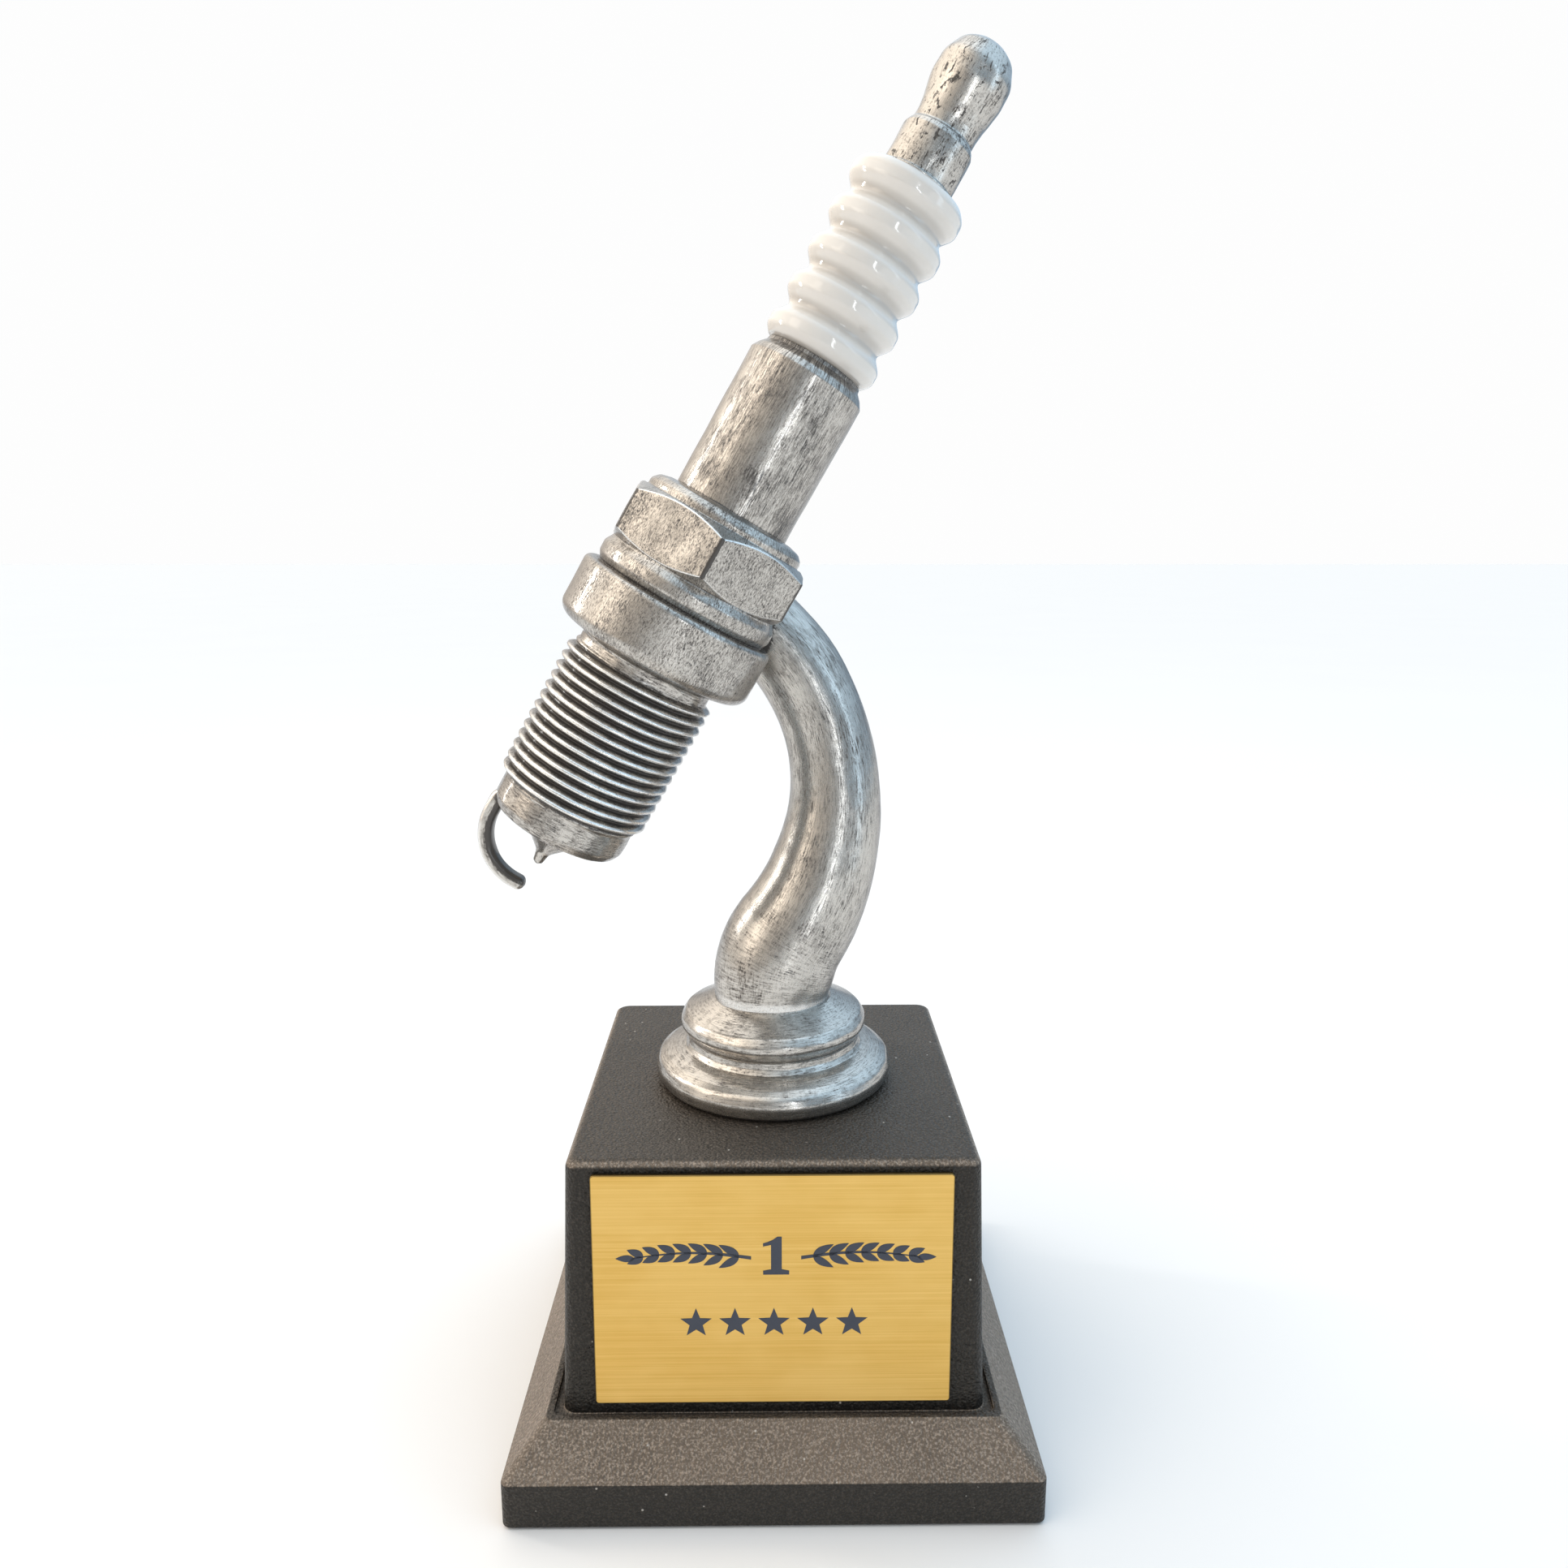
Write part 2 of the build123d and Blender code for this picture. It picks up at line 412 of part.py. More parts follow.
with BuildPart() as base_shell:
    ledge_floor = LEDGE_TOP - LEDGE_SUNK
    frustum(PLINTH_SIDE, SHELL_FOOT, PLINTH_SIDE, PLINTH_BAND_TOP, PLINTH_CORNER)
    frustum(PLINTH_SIDE, PLINTH_BAND_TOP, LEDGE_SIDE, LEDGE_TOP, PLINTH_CORNER)
    groove_side = LEDGE_SIDE - 2 * LEDGE_RIM
    frustum(groove_side, ledge_floor, groove_side, LEDGE_TOP, PLINTH_CORNER, Mode.SUBTRACT)
    frustum(BLOCK_FOOT_SIDE, ledge_floor, BLOCK_TOP_SIDE, BLOCK_TOP, BLOCK_CORNER)
    fillet(base_shell.faces().sort_by(Axis.Z)[-1].edges(), BLOCK_TOP_ROUND)
    skirt_side = PLINTH_SIDE - 2 * WALL
    shoulder_side = LEDGE_SIDE - 2 * SHOULDER_WALL
    frustum(skirt_side, SHELL_FOOT, skirt_side, CAVITY_SKIRT_TOP, PLINTH_CORNER, Mode.SUBTRACT)
    frustum(skirt_side, CAVITY_SKIRT_TOP, shoulder_side, CAVITY_SLOPE_TOP, PLINTH_CORNER, Mode.SUBTRACT)
    cavity_side = BLOCK_FOOT_SIDE - 2 * WALL
    cavity_top_side = BLOCK_TOP_SIDE - 2 * WALL
    frustum(cavity_side, CAVITY_SKIRT_TOP, cavity_top_side, BLOCK_TOP - WALL, CAVITY_CORNER, Mode.SUBTRACT)
    with BuildSketch(Plane.XY.offset(BOSS_FOOT)):
        Circle(BOSS_RADIUS)
    extrude(amount=BLOCK_TOP - WALL - BOSS_FOOT)
    with BuildSketch(Plane.XY.offset(RIB_FOOT)):
        Rectangle(BLOCK_TOP_SIDE - WALL, RIB_THICK)
        Rectangle(RIB_THICK, BLOCK_TOP_SIDE - WALL)
    extrude(amount=BLOCK_TOP - WALL - RIB_FOOT)
    with BuildSketch(Plane.XY.offset(FELT_THICK + COVER_THICK)):
        with GridLocations(POST_SPACING, POST_SPACING, 2, 2):
            Circle(POST_RADIUS)
    extrude(amount=POST_TOP - FELT_THICK - COVER_THICK)
    with BuildSketch(Plane.XY.offset(FELT_THICK)):
        Circle(ROD_RADIUS + ROD_CLEARANCE)
        with GridLocations(POST_SPACING, POST_SPACING, 2, 2):
            Circle(SCREW_RADIUS + CORE_FIT)
    extrude(amount=SCREW_TOP + SCREW_ROOM - FELT_THICK, mode=Mode.SUBTRACT)
    with BuildSketch(Plane.XY.offset(BOSS_FOOT)):
        Circle(ROD_RADIUS + ROD_CLEARANCE)
    extrude(amount=BLOCK_TOP - BOSS_FOOT, mode=Mode.SUBTRACT)
finish(base_shell, "base_shell")

with BuildPart() as base_weight:
    with BuildSketch(Plane.XY.offset(WEIGHT_FOOT)):
        RectangleRounded(WEIGHT_SIDE, WEIGHT_SIDE, WEIGHT_CORNER)
        Circle(BOSS_RADIUS + WEIGHT_GAP, mode=Mode.SUBTRACT)
    extrude(amount=WEIGHT_TOP - WEIGHT_FOOT)
finish(base_weight, "base_weight")

with BuildPart() as bottom_cover:
    cover_side = skirt_side - 2 * COVER_GAP
    with BuildSketch(Plane.XY.offset(FELT_THICK)):
        RectangleRounded(cover_side, cover_side, PLINTH_CORNER)
        Circle(COVER_HOLE_RADIUS, mode=Mode.SUBTRACT)
    extrude(amount=COVER_THICK)
    with Locations(Plane(origin=(0, 0, FELT_THICK), z_dir=(0, 0, -1))):
        with GridLocations(POST_SPACING, POST_SPACING, 2, 2):
            CounterSinkHole(SCREW_RADIUS + CORE_FIT, SCREW_HEAD_RADIUS + 0.1, COVER_THICK)
finish(bottom_cover, "bottom_cover")

with BuildPart() as cover_screws:
    with BuildSketch(Plane.XZ) as screw_outline:
        with BuildLine():
            head_foot = FELT_THICK + 0.05
            Polyline(
                (0, head_foot), (SCREW_HEAD_RADIUS, head_foot), (SCREW_RADIUS, head_foot + SCREW_HEAD_HEIGHT),
                (SCREW_RADIUS, SCREW_TOP - SCREW_POINT), (0.4, SCREW_TOP), (0, SCREW_TOP), close=True,
            )
        make_face()
    one_screw = revolve(screw_outline.sketch, axis=upright, mode=Mode.PRIVATE)
    with GridLocations(POST_SPACING, POST_SPACING, 2, 2):
        add(one_screw)
finish(cover_screws, "cover_screws")

with BuildPart() as felt_pad:
    with BuildSketch():
        RectangleRounded(cover_side, cover_side, PLINTH_CORNER)
    extrude(amount=FELT_THICK)
finish(felt_pad, "felt_pad")

# ---------------------------------------------------------------- plate on the sloping front face
PLATE_MIDDLE, PLATE_SHIFT, PLATE_CORNER = 40.0, -0.2, 0.6
draft = (BLOCK_FOOT_SIDE - BLOCK_TOP_SIDE) / 2 / (BLOCK_TOP - ledge_floor)
front_at_middle = BLOCK_FOOT_SIDE / 2 - draft * (PLATE_MIDDLE - ledge_floor)
plate_place = (PLATE_SHIFT, -front_at_middle, PLATE_MIDDLE)
front_face = Plane(origin=plate_place, x_dir=(1, 0, 0), z_dir=(0, -1, draft))

with BuildPart() as plate_adhesive:
    with BuildSketch(front_face):
        Rectangle(PLATE_WIDTH - 2 * TAPE_INSET, PLATE_HEIGHT - 2 * TAPE_INSET)
    extrude(amount=TAPE_THICK)
finish(plate_adhesive, "plate_adhesive")

with BuildPart() as name_plate:
    with BuildSketch(front_face.offset(TAPE_THICK)):
        RectangleRounded(PLATE_WIDTH, PLATE_HEIGHT, PLATE_CORNER)
    extrude(amount=PLATE_THICK)
finish(name_plate, "name_plate")
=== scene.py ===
from math import ceil, cos, pi, radians, sin, sqrt, tau

import bpy
import numpy as np
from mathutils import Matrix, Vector


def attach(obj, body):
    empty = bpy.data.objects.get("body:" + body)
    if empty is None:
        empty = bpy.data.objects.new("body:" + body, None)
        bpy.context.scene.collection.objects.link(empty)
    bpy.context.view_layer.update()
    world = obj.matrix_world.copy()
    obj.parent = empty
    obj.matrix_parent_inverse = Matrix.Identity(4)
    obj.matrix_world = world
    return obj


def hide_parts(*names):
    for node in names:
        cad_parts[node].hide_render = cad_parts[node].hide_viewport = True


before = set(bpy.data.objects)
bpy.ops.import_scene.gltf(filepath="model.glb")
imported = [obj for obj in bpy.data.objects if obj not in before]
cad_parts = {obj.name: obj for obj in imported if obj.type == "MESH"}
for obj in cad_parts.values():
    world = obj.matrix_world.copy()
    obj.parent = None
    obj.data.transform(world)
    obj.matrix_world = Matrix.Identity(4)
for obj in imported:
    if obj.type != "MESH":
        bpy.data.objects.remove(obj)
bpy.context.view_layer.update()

# The shape code repeats the CAD's dimensions, in millimetres; meshes are made in metres.
MM = 0.001

# ---------- dimensions shared with the CAD
# The plug stands in its own frame: height 0 is inside the hexagon, and its nose is below.
PLUG_PLACE, PLUG_TILT = np.array([-10.2, -8.0, 170.0]), radians(30.1)
PLUG_X = np.array([cos(PLUG_TILT), 0, -sin(PLUG_TILT)])
PLUG_Z = np.array([sin(PLUG_TILT), 0, cos(PLUG_TILT)])
RIGHT, BACK, UP = np.eye(3)

NOSE_END, DISH_DEPTH = -61.4, 1.4
THREAD_FOOT, THREAD_TOP, THREAD_PITCH = -55.4, -27.4, 2.1
COLLAR_FOOT, COLLAR_TOP, RING_TOP, HEX_TOP, WASHER_TOP = -24.4, -13.0, -8.0, 2.8, 5.7
BARREL_TOP, CRIMP_TOP, INSULATOR_TOP, CAP_TOP = 32.2, 35.2, 68.4, 93.7
NOSE_RADIUS, THREAD_CREST = 13.1, 14.6
COLLAR_RADIUS, RING_RADIUS, HEX_CORNER, HEX_TURN = 19.05, 17.4, 19.1, 5.5
BARREL_RADIUS, CRIMP_RADIUS, RIB_CREST, RIB_VALLEY = 11.05, 9.1, 10.65, 9.0
RIB_FIRST, RIB_PITCH, RIB_COUNT = 38.0, 7.0, 5

PEDESTAL_TOP, STEM_SHIFT, STEM_LEAN = 80.5, -0.4, radians(5.3)
BLOCK_TOP, BLOCK_TOP_SIDE, BLOCK_FOOT_SIDE = 63.7, 73.2, 76.3
LEDGE_TOP, LEDGE_FLOOR, LEDGE_SIDE, LEDGE_RIM = 16.3, 15.3, 81.7, 1.2
PLINTH_SIDE, PLINTH_BAND_TOP, SHELL_FOOT = 95.6, 8.8, 0.4


# ---------- mesh helpers
def place(local, origin, x_axis, y_axis, z_axis):
    """Local millimetre points in the row frame."""
    return origin + local[..., :1] * x_axis + local[..., 1:2] * y_axis + local[..., 2:3] * z_axis


def on_plug(local):
    return place(local, PLUG_PLACE, PLUG_X, BACK, PLUG_Z)


def upright(local):
    return place(local, np.zeros(3), RIGHT, BACK, UP)


def on_axis(height):
    return np.array([0.0, 0.0, height])


def about_axis(radius, angle, height):
    """Points at a radius and a height, for each angle."""
    return np.stack(np.broadcast_arrays(radius * np.cos(angle), radius * np.sin(angle), height), -1)


def push_out(local, amount, angle):
    """Move points away from the axis, in place."""
    local[..., 0] += amount * np.cos(angle)
    local[..., 1] += amount * np.sin(angle)


def unit(angle):
    return np.array([cos(angle), sin(angle)])


def even_angles(count):
    return np.arange(count) / count * tau


def arc_length(points):
    """How far along a run each of its points is."""
    return np.concatenate([[0], np.cumsum(np.linalg.norm(np.diff(points, axis=0), axis=1))])


WOBBLE_WAVES, WOBBLE_SPREAD = 14, (0.6, 1.6)


def wobble(points, wavelength, seed):
    """Smooth seeded unevenness, about -1 to 1, over millimetre points."""
    draw = np.random.default_rng(seed)
    total = np.zeros(points.shape[:-1])
    for _ in range(WOBBLE_WAVES):
        direction = draw.normal(size=3)
        direction *= tau / wavelength * draw.uniform(*WOBBLE_SPREAD) / np.linalg.norm(direction)
        total += np.sin(points @ direction + draw.uniform(0, tau))
    return total / sqrt(WOBBLE_WAVES)


def smooth(low, high, value):
    """Smoothstep from 0 at low to 1 at high; low may be the larger."""
    t = np.clip((value - low) / (high - low), 0, 1)
    return t * t * (3 - 2 * t)


def add_object(name, data):
    made = bpy.data.objects.new(name, data)
    bpy.context.scene.collection.objects.link(made)
    return made


def skin(name, rows, first_pole, last_pole, **marks):
    """A closed mesh over rows of ring points, with a pole at each end.

    A mark becomes an attribute. It has a number for each row or each point, or a vector for each point.
    """
    count, around = rows.shape[:2]
    points = np.vstack([rows.reshape(-1, 3), [first_pole, last_pole]])
    column = np.arange(around)
    after = (column + 1) % around
    foot = np.arange(count - 1)[:, None] * around
    quads = np.stack([foot + column, foot + after, foot + around + after, foot + around + column], -1)
    quads = quads.reshape(-1, 4)
    last = (count - 1) * around
    fans = [(count * around, b, a) for a, b in zip(column, after)]
    fans += [(count * around + 1, last + a, last + b) for a, b in zip(column, after)]
    mesh = bpy.data.meshes.new(name)
    faces = quads.tolist() + [tuple(int(i) for i in fan) for fan in fans]
    mesh.from_pydata((points * MM).tolist(), [], faces)
    # the sign of the enclosed volume says whether the faces point outwards
    a, b, c, d = (points[quads[:, i]] for i in range(4))
    if (np.einsum("ij,ij->i", a, np.cross(b, c)) + np.einsum("ij,ij->i", a, np.cross(c, d))).sum() < 0:
        mesh.flip_normals()
    for key, value in marks.items():
        flat = np.broadcast_to(value, (count, around, *value.shape[2:])).reshape(count * around, -1)
        flat = np.vstack([flat, flat[:around].mean(0), flat[-around:].mean(0)]).astype(np.float32)
        is_vector = flat.shape[1] == 3
        field = mesh.attributes.new(key, "FLOAT_VECTOR" if is_vector else "FLOAT", "POINT")
        field.data.foreach_set("vector" if is_vector else "value", flat.ravel())
    mesh.shade_smooth()
    return add_object(name, mesh)


def settle(piece, body, slot, material, *nodes):
    """Give a piece its look and its body, and let it stand for CAD nodes. The slot is not used."""
    piece.data.materials.append(material)
    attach(piece, body)
    if nodes:
        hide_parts(*nodes)


ARC_STEP, STRAIGHT_ENOUGH, ARC_SHARE = 0.25, 0.02, 0.48


def outline(corners):
    """Points along straight runs through (x, y, rounding) corners, with each corner rounded."""
    corners = [np.array(c, float) for c in corners]
    run = [corners[0][:2]]
    for before, here, after in zip(corners, corners[1:], corners[2:]):
        p, radius = here[:2], here[2] if len(here) > 2 else 0.0
        u, v = before[:2] - p, after[:2] - p
        a, b = np.linalg.norm(u), np.linalg.norm(v)
        u, v = u / a, v / b
        turn = pi - np.arccos(np.clip(u @ v, -1, 1))
        if radius <= 0 or turn < STRAIGHT_ENOUGH:
            run.append(p)
            continue
        reach = min(radius * np.tan(turn / 2), ARC_SHARE * a, ARC_SHARE * b)
        radius = reach / np.tan(turn / 2)
        bisector = (u + v) / np.linalg.norm(u + v)
        centre = p + bisector * sqrt(radius ** 2 + reach ** 2)
        start, end = p + u * reach - centre, p + v * reach - centre
        pieces = max(4, ceil(turn * radius / ARC_STEP))
        for k in range(pieces + 1):
            t = k / pieces
            blend = (np.sin((1 - t) * turn) * start + np.sin(t * turn) * end) / np.sin(turn)
            run.append(centre + blend)
    run.append(corners[-1][:2])
    return np.array(run)


def divided(run, step=0.3):
    """The same run with its long stretches divided, and with a close point next to each end of them."""
    out = [run[0]]
    for a, b in zip(run, run[1:]):
        length = np.linalg.norm(b - a)
        if length > 1.6 * step:
            inner = min(0.08, step / 3) / length
            between = np.linspace(0, 1, ceil(length / step) + 1)[1:-1]
            out += [a + (b - a) * t for t in (inner, *between, 1 - inner)]
        if length > 1e-6:
            out.append(b)
    return np.array(out)


def normals_of(run):
    """Unit normals of a run, to the right of its direction."""
    ahead = np.gradient(run, axis=0)
    ahead /= np.maximum(np.linalg.norm(ahead, axis=1, keepdims=True), 1e-9)
    return np.stack([ahead[:, 1], -ahead[:, 0]], 1)


def cross2(a, b):
    return a[..., 0] * b[..., 1] - a[..., 1] * b[..., 0]


FAN_HALF, FAN_RAYS, FAN_LIFT = radians(78), 17, 0.02
RECESS_REACH, EDGE_REACH = 1.6, 0.7


def clear_share(points, normals, walls, reach):
    """How much of a fan of directions over each point is clear of the walls within reach, 0 to 1."""
    starts = np.vstack([wall[:-1] for wall in walls])
    edges = np.vstack([wall[1:] - wall[:-1] for wall in walls])
    total, weights = np.zeros(len(points)), 0.0
    origin = points + FAN_LIFT * normals
    gap = starts[None] - origin[:, None]
    for angle in np.linspace(-FAN_HALF, FAN_HALF, FAN_RAYS):
        c, s = cos(angle), sin(angle)
        way = np.stack([c * normals[:, 0] - s * normals[:, 1], s * normals[:, 0] + c * normals[:, 1]], 1)
        facing = cross2(way[:, None], edges[None])
        facing = np.where(np.abs(facing) < 1e-9, 1e-9, facing)
        far = cross2(gap, edges[None]) / facing
        share = cross2(gap, way[:, None]) / facing
        hit = (far > 0) & (share >= 0) & (share <= 1) & (far < reach)
        total += np.where(hit, far, reach).min(1) / reach * c
        weights += c
    return total / weights


def marks_of(run, walls):
    """Recess and outer edges along an outline: how shut in each point is, and how much of an outer edge it
    is; the looks use them for wash and wear, and on some pieces for painted shade and painted highlight.
    """
    outward = normals_of(run)
    shut = 1 - clear_share(run, outward, walls, RECESS_REACH)
    edge = 1 - clear_share(run, -outward, [run], EDGE_REACH)
    return smooth(0.24, 0.66, shut), smooth(0.16, 0.42, edge)


def turned(name, corners, walls, frame_of, around, rough, seed, grain_radius=None, stained=None):
    """A turned piece from an outline of (radius, height, rounding) corners that starts and ends on the axis.

    stained is (0 for radius or 1 for height, start, end, most): dark that grows from start to end, a wash on
    the barrel and painted shade in the insulator's valleys.
    """
    run = divided(outline(corners))
    off_axis = run[:, 0] > 1e-6
    inside = run[off_axis]
    recess, wear = (mark[off_axis] for mark in marks_of(run, walls))
    if stained:
        axis, start, end, most = stained
        recess = np.maximum(recess, most * smooth(start, end, inside[:, axis]))
    angle = even_angles(around)
    local = about_axis(inside[:, :1], angle, inside[:, 1:])
    uneven = rough * (0.75 * wobble(local, 9.0, seed) + 0.07 * wobble(local, 2.6, seed + 50))
    uneven *= smooth(0, 3, inside[:, :1])
    push_out(local, uneven * normals_of(run)[off_axis][:, :1], angle)
    # the grain keeps one radius along the piece, and narrows near the axis, where it would be pinched
    grain_reach = np.minimum(grain_radius or inside[:, 0].max(), 2 * inside[:, :1])
    flow = about_axis(grain_reach, angle, arc_length(inside)[:, None])
    poles = [frame_of(on_axis(run[i, 1])) for i in (0, -1)]
    return skin(name, frame_of(local), *poles, flow=flow, wash=recess[:, None], worn=wear[:, None])


# ---------- material helpers
class Nodes:
    """Short calls that fill one node tree. Most give back an output socket."""

    def __init__(self, tree):
        self.tree = tree
        tree.nodes.clear()

    def add(self, kind, **settings):
        node = self.tree.nodes.new(kind)
        for key, value in settings.items():
            setattr(node, key, value)
        return node

    def put(self, socket, value):
        """Link a socket or set its constant; a colour is given without its alpha."""
        if isinstance(value, bpy.types.NodeSocket):
            self.tree.links.new(value, socket)
        else:
            socket.default_value = (*value, 1.0) if socket.type == "RGBA" else value

    def fed(self, node, *values, **named):
        """Fill a node's inputs, in their order or by name, and give its first output."""
        for socket, value in zip(node.inputs, values):
            self.put(socket, value)
        for key, value in named.items():
            self.put(node.inputs[key.replace("_", " ")], value)
        return node.outputs[0]

    def math(self, operation, *values):
        return self.fed(self.add("ShaderNodeMath", operation=operation), *values)

    def times(self, a, b):
        return self.math("MULTIPLY", a, b)

    def swing(self, noise, weight, level):
        """The level, raised and lowered by a noise with a mean of 0.5."""
        return self.math("MULTIPLY_ADD", self.math("SUBTRACT", noise, 0.5), weight, level)

    def field(self, name, output="Fac"):
        return self.add("ShaderNodeAttribute", attribute_name=name).outputs[output]

    def object_mm(self):
        return self.mapped(self.add("ShaderNodeTexCoord").outputs["Object"], (1000, 1000, 1000))

    def split(self, vector):
        node = self.add("ShaderNodeSeparateXYZ")
        self.put(node.inputs[0], vector)
        return node.outputs

    def mapped(self, vector, scale, turn=(0, 0, 0), shift=(0, 0, 0)):
        return self.fed(self.add("ShaderNodeMapping"), Vector=vector, Scale=scale, Location=shift,
                        Rotation=tuple(radians(t) for t in turn))

    def noise(self, vector, scale=1.0, detail=3.0, roughness=0.55, distortion=0.0):
        return self.fed(self.add("ShaderNodeTexNoise"), Vector=vector, Scale=scale, Detail=detail,
                        Roughness=roughness, Distortion=distortion)

    def cells(self, vector, scale, feature="F1"):
        """How far each point is from the middle of its Voronoi cell."""
        return self.fed(self.add("ShaderNodeTexVoronoi", feature=feature), Vector=vector, Scale=scale)

    def range(self, value, low, high, to_low=0.0, to_high=1.0, kind="SMOOTHSTEP"):
        node = self.add("ShaderNodeMapRange", interpolation_type=kind)
        return self.fed(node, value, low, high, to_low, to_high)

    def mix(self, share, a, b, blend="MIX"):
        node = self.add("ShaderNodeMix", data_type="RGBA", blend_type=blend)
        for index, value in ((0, share), (6, a), (7, b)):
            self.put(node.inputs[index], value)
        return node.outputs[2]

    def bump(self, height, distance, strength):
        """A relief of a height in millimetres."""
        return self.fed(self.add("ShaderNodeBump"), Height=height, Distance=distance * MM, Strength=strength)


class Look(Nodes):
    """A node material with one Principled shader."""

    def __init__(self, name):
        self.material = bpy.data.materials.new(name)
        self.material.use_nodes = True
        super().__init__(self.material.node_tree)
        self.shader = self.add("ShaderNodeBsdfPrincipled")
        self.put(self.add("ShaderNodeOutputMaterial").inputs["Surface"], self.shader.outputs[0])

    def set(self, **values):
        self.fed(self.shader, **values)


SILVER_LIGHT, SILVER_MID, BRIGHT = (0.57, 0.54, 0.497), (0.28, 0.258, 0.234), (0.93, 0.92, 0.90)
WASH = (0.036, 0.030, 0.026)
STROKE_SHARE, SLANT_SHARE, GRAIN_SHARE = 0.50, 0.28, 0.22
WORN_LIFT, PAINT_RELIEF = -0.12, 0.022


def antique_silver(name, along, slant, clump, patch, dark_from, dark_to, wash_depth=0.34, pits=0.0,
                   cross=None, gloss=0.07):
    """Brushed silver paint over a dark wash that stays in the recesses and between the brush marks, with
    painted shade along the hexagon's corners and at the pedestal's foot.

    along, slant and cross say how fine each set of brush marks is, round and along the piece, per millimetre.
    """
    look = Look("antique_silver_" + name)
    flow = look.field("flow", "Vector")
    wash, worn = look.field("wash"), look.field("worn")
    strokes = look.noise(look.mapped(flow, along), detail=4, roughness=0.6, distortion=0.5)
    if cross:
        crossed = look.mapped(flow, cross, shift=(4, 1, 6))
        crossed = look.noise(crossed, detail=4, roughness=0.6, distortion=0.4)
        more = look.math("SUBTRACT", crossed, strokes)
        strokes = look.math("MULTIPLY_ADD", more, look.field("cross"), strokes)
    slanted = look.mapped(flow, slant, turn=(28, -24, 0), shift=(3, 7, 1))
    slanted = look.noise(slanted, detail=4, roughness=0.6)
    grain = look.noise(look.mapped(flow, (4.2, 4.2, 3.2)), detail=2, roughness=0.6)
    clumps = look.noise(look.mapped(flow, (0.5, 0.5, 0.3), shift=(2, 8, 4)), roughness=0.6, distortion=0.6)
    patches = look.noise(look.mapped(flow, (0.13, 0.13, 0.10), shift=(5, 2, 9)), detail=2)
    mixed = look.math("ADD", look.times(strokes, STROKE_SHARE), look.times(slanted, SLANT_SHARE))
    mixed = look.math("MULTIPLY_ADD", grain, GRAIN_SHARE, mixed)
    level = look.swing(patches, patch, look.swing(clumps, clump, mixed))
    # wash: the wash in the recesses, and painted shade on the hexagon's corners and the pedestal's foot
    level = look.math("MULTIPLY_ADD", wash, wash_depth, level)
    level = look.math("MULTIPLY_ADD", worn, WORN_LIFT, level)
    if pits:
        spots = look.mapped(flow, (0.8, 0.8, 0.5), shift=(1, 4, 2))
        spots = look.noise(spots, detail=4, roughness=0.65, distortion=0.9)
        level = look.math("ADD", level, look.range(spots, 0.56, 0.66, 0.0, pits))
    dark = look.range(level, dark_from, dark_to)
    tone = look.range(level, dark_from - 0.12, dark_from + 0.04)
    silver = look.mix(tone, SILVER_LIGHT, SILVER_MID)
    silver = look.mix(look.times(worn, look.range(grain, 0.66, 0.48, 0.35, 1.0)), silver, BRIGHT)
    dullness = look.math("MULTIPLY_ADD", tone, 0.35, dark)
    look.set(
        Base_Color=look.mix(look.range(dark, 0.0, 1.0, 0.0, 0.88, "LINEAR"), silver, WASH),
        Metallic=look.range(dark, 0.0, 1.0, 0.94, 0.30, "LINEAR"),
        Roughness=look.range(dullness, 0.0, 1.35, 0.26, 0.60, "LINEAR"),
        Normal=look.bump(look.math("SUBTRACT", look.times(mixed, 1.2), dark), PAINT_RELIEF, 0.9),
        Specular_Tint=(0.40, 0.40, 0.42), Coat_Weight=0.7, Coat_Roughness=gloss,
    )
    return look.material


def gloss_white():
    """White lacquer, with painted shade that greys it in the valleys."""
    look = Look("gloss_white_lacquer")
    flow = look.field("flow", "Vector")
    cloud = look.noise(look.mapped(flow, (0.22, 0.22, 0.3)))
    fine = look.noise(look.mapped(flow, (0.9, 0.9, 0.9)), detail=2)
    body = look.mix(cloud, (0.65, 0.615, 0.568), (0.69, 0.66, 0.622))
    # painted shade: wash greys the lacquer in the rib valleys and beside the neighbouring parts
    body = look.mix(look.range(look.field("wash"), 0.05, 0.75, 0.0, 0.7), body, (0.40, 0.365, 0.325))
    look.set(
        Base_Color=body,
        Roughness=look.range(fine, 0.3, 0.7, 0.09, 0.16),
        Normal=look.bump(look.noise(look.mapped(flow, (0.35, 0.35, 0.35)), detail=2), 0.10, 0.6),
        Coat_Weight=0.9, Coat_Roughness=0.025, IOR=1.5,
    )
    return look.material


BLACK_DEEP, BLACK_SOFT, BLACK_UPWARD_SHEEN = (0.006, 0.0055, 0.005), (0.012, 0.011, 0.010), (0.145, 0.111, 0.084)
BLACK_GLINT, BLACK_EDGE_HIGHLIGHT, DUST = (0.37, 0.303, 0.245), (0.20, 0.168, 0.138), (0.55, 0.51, 0.46)


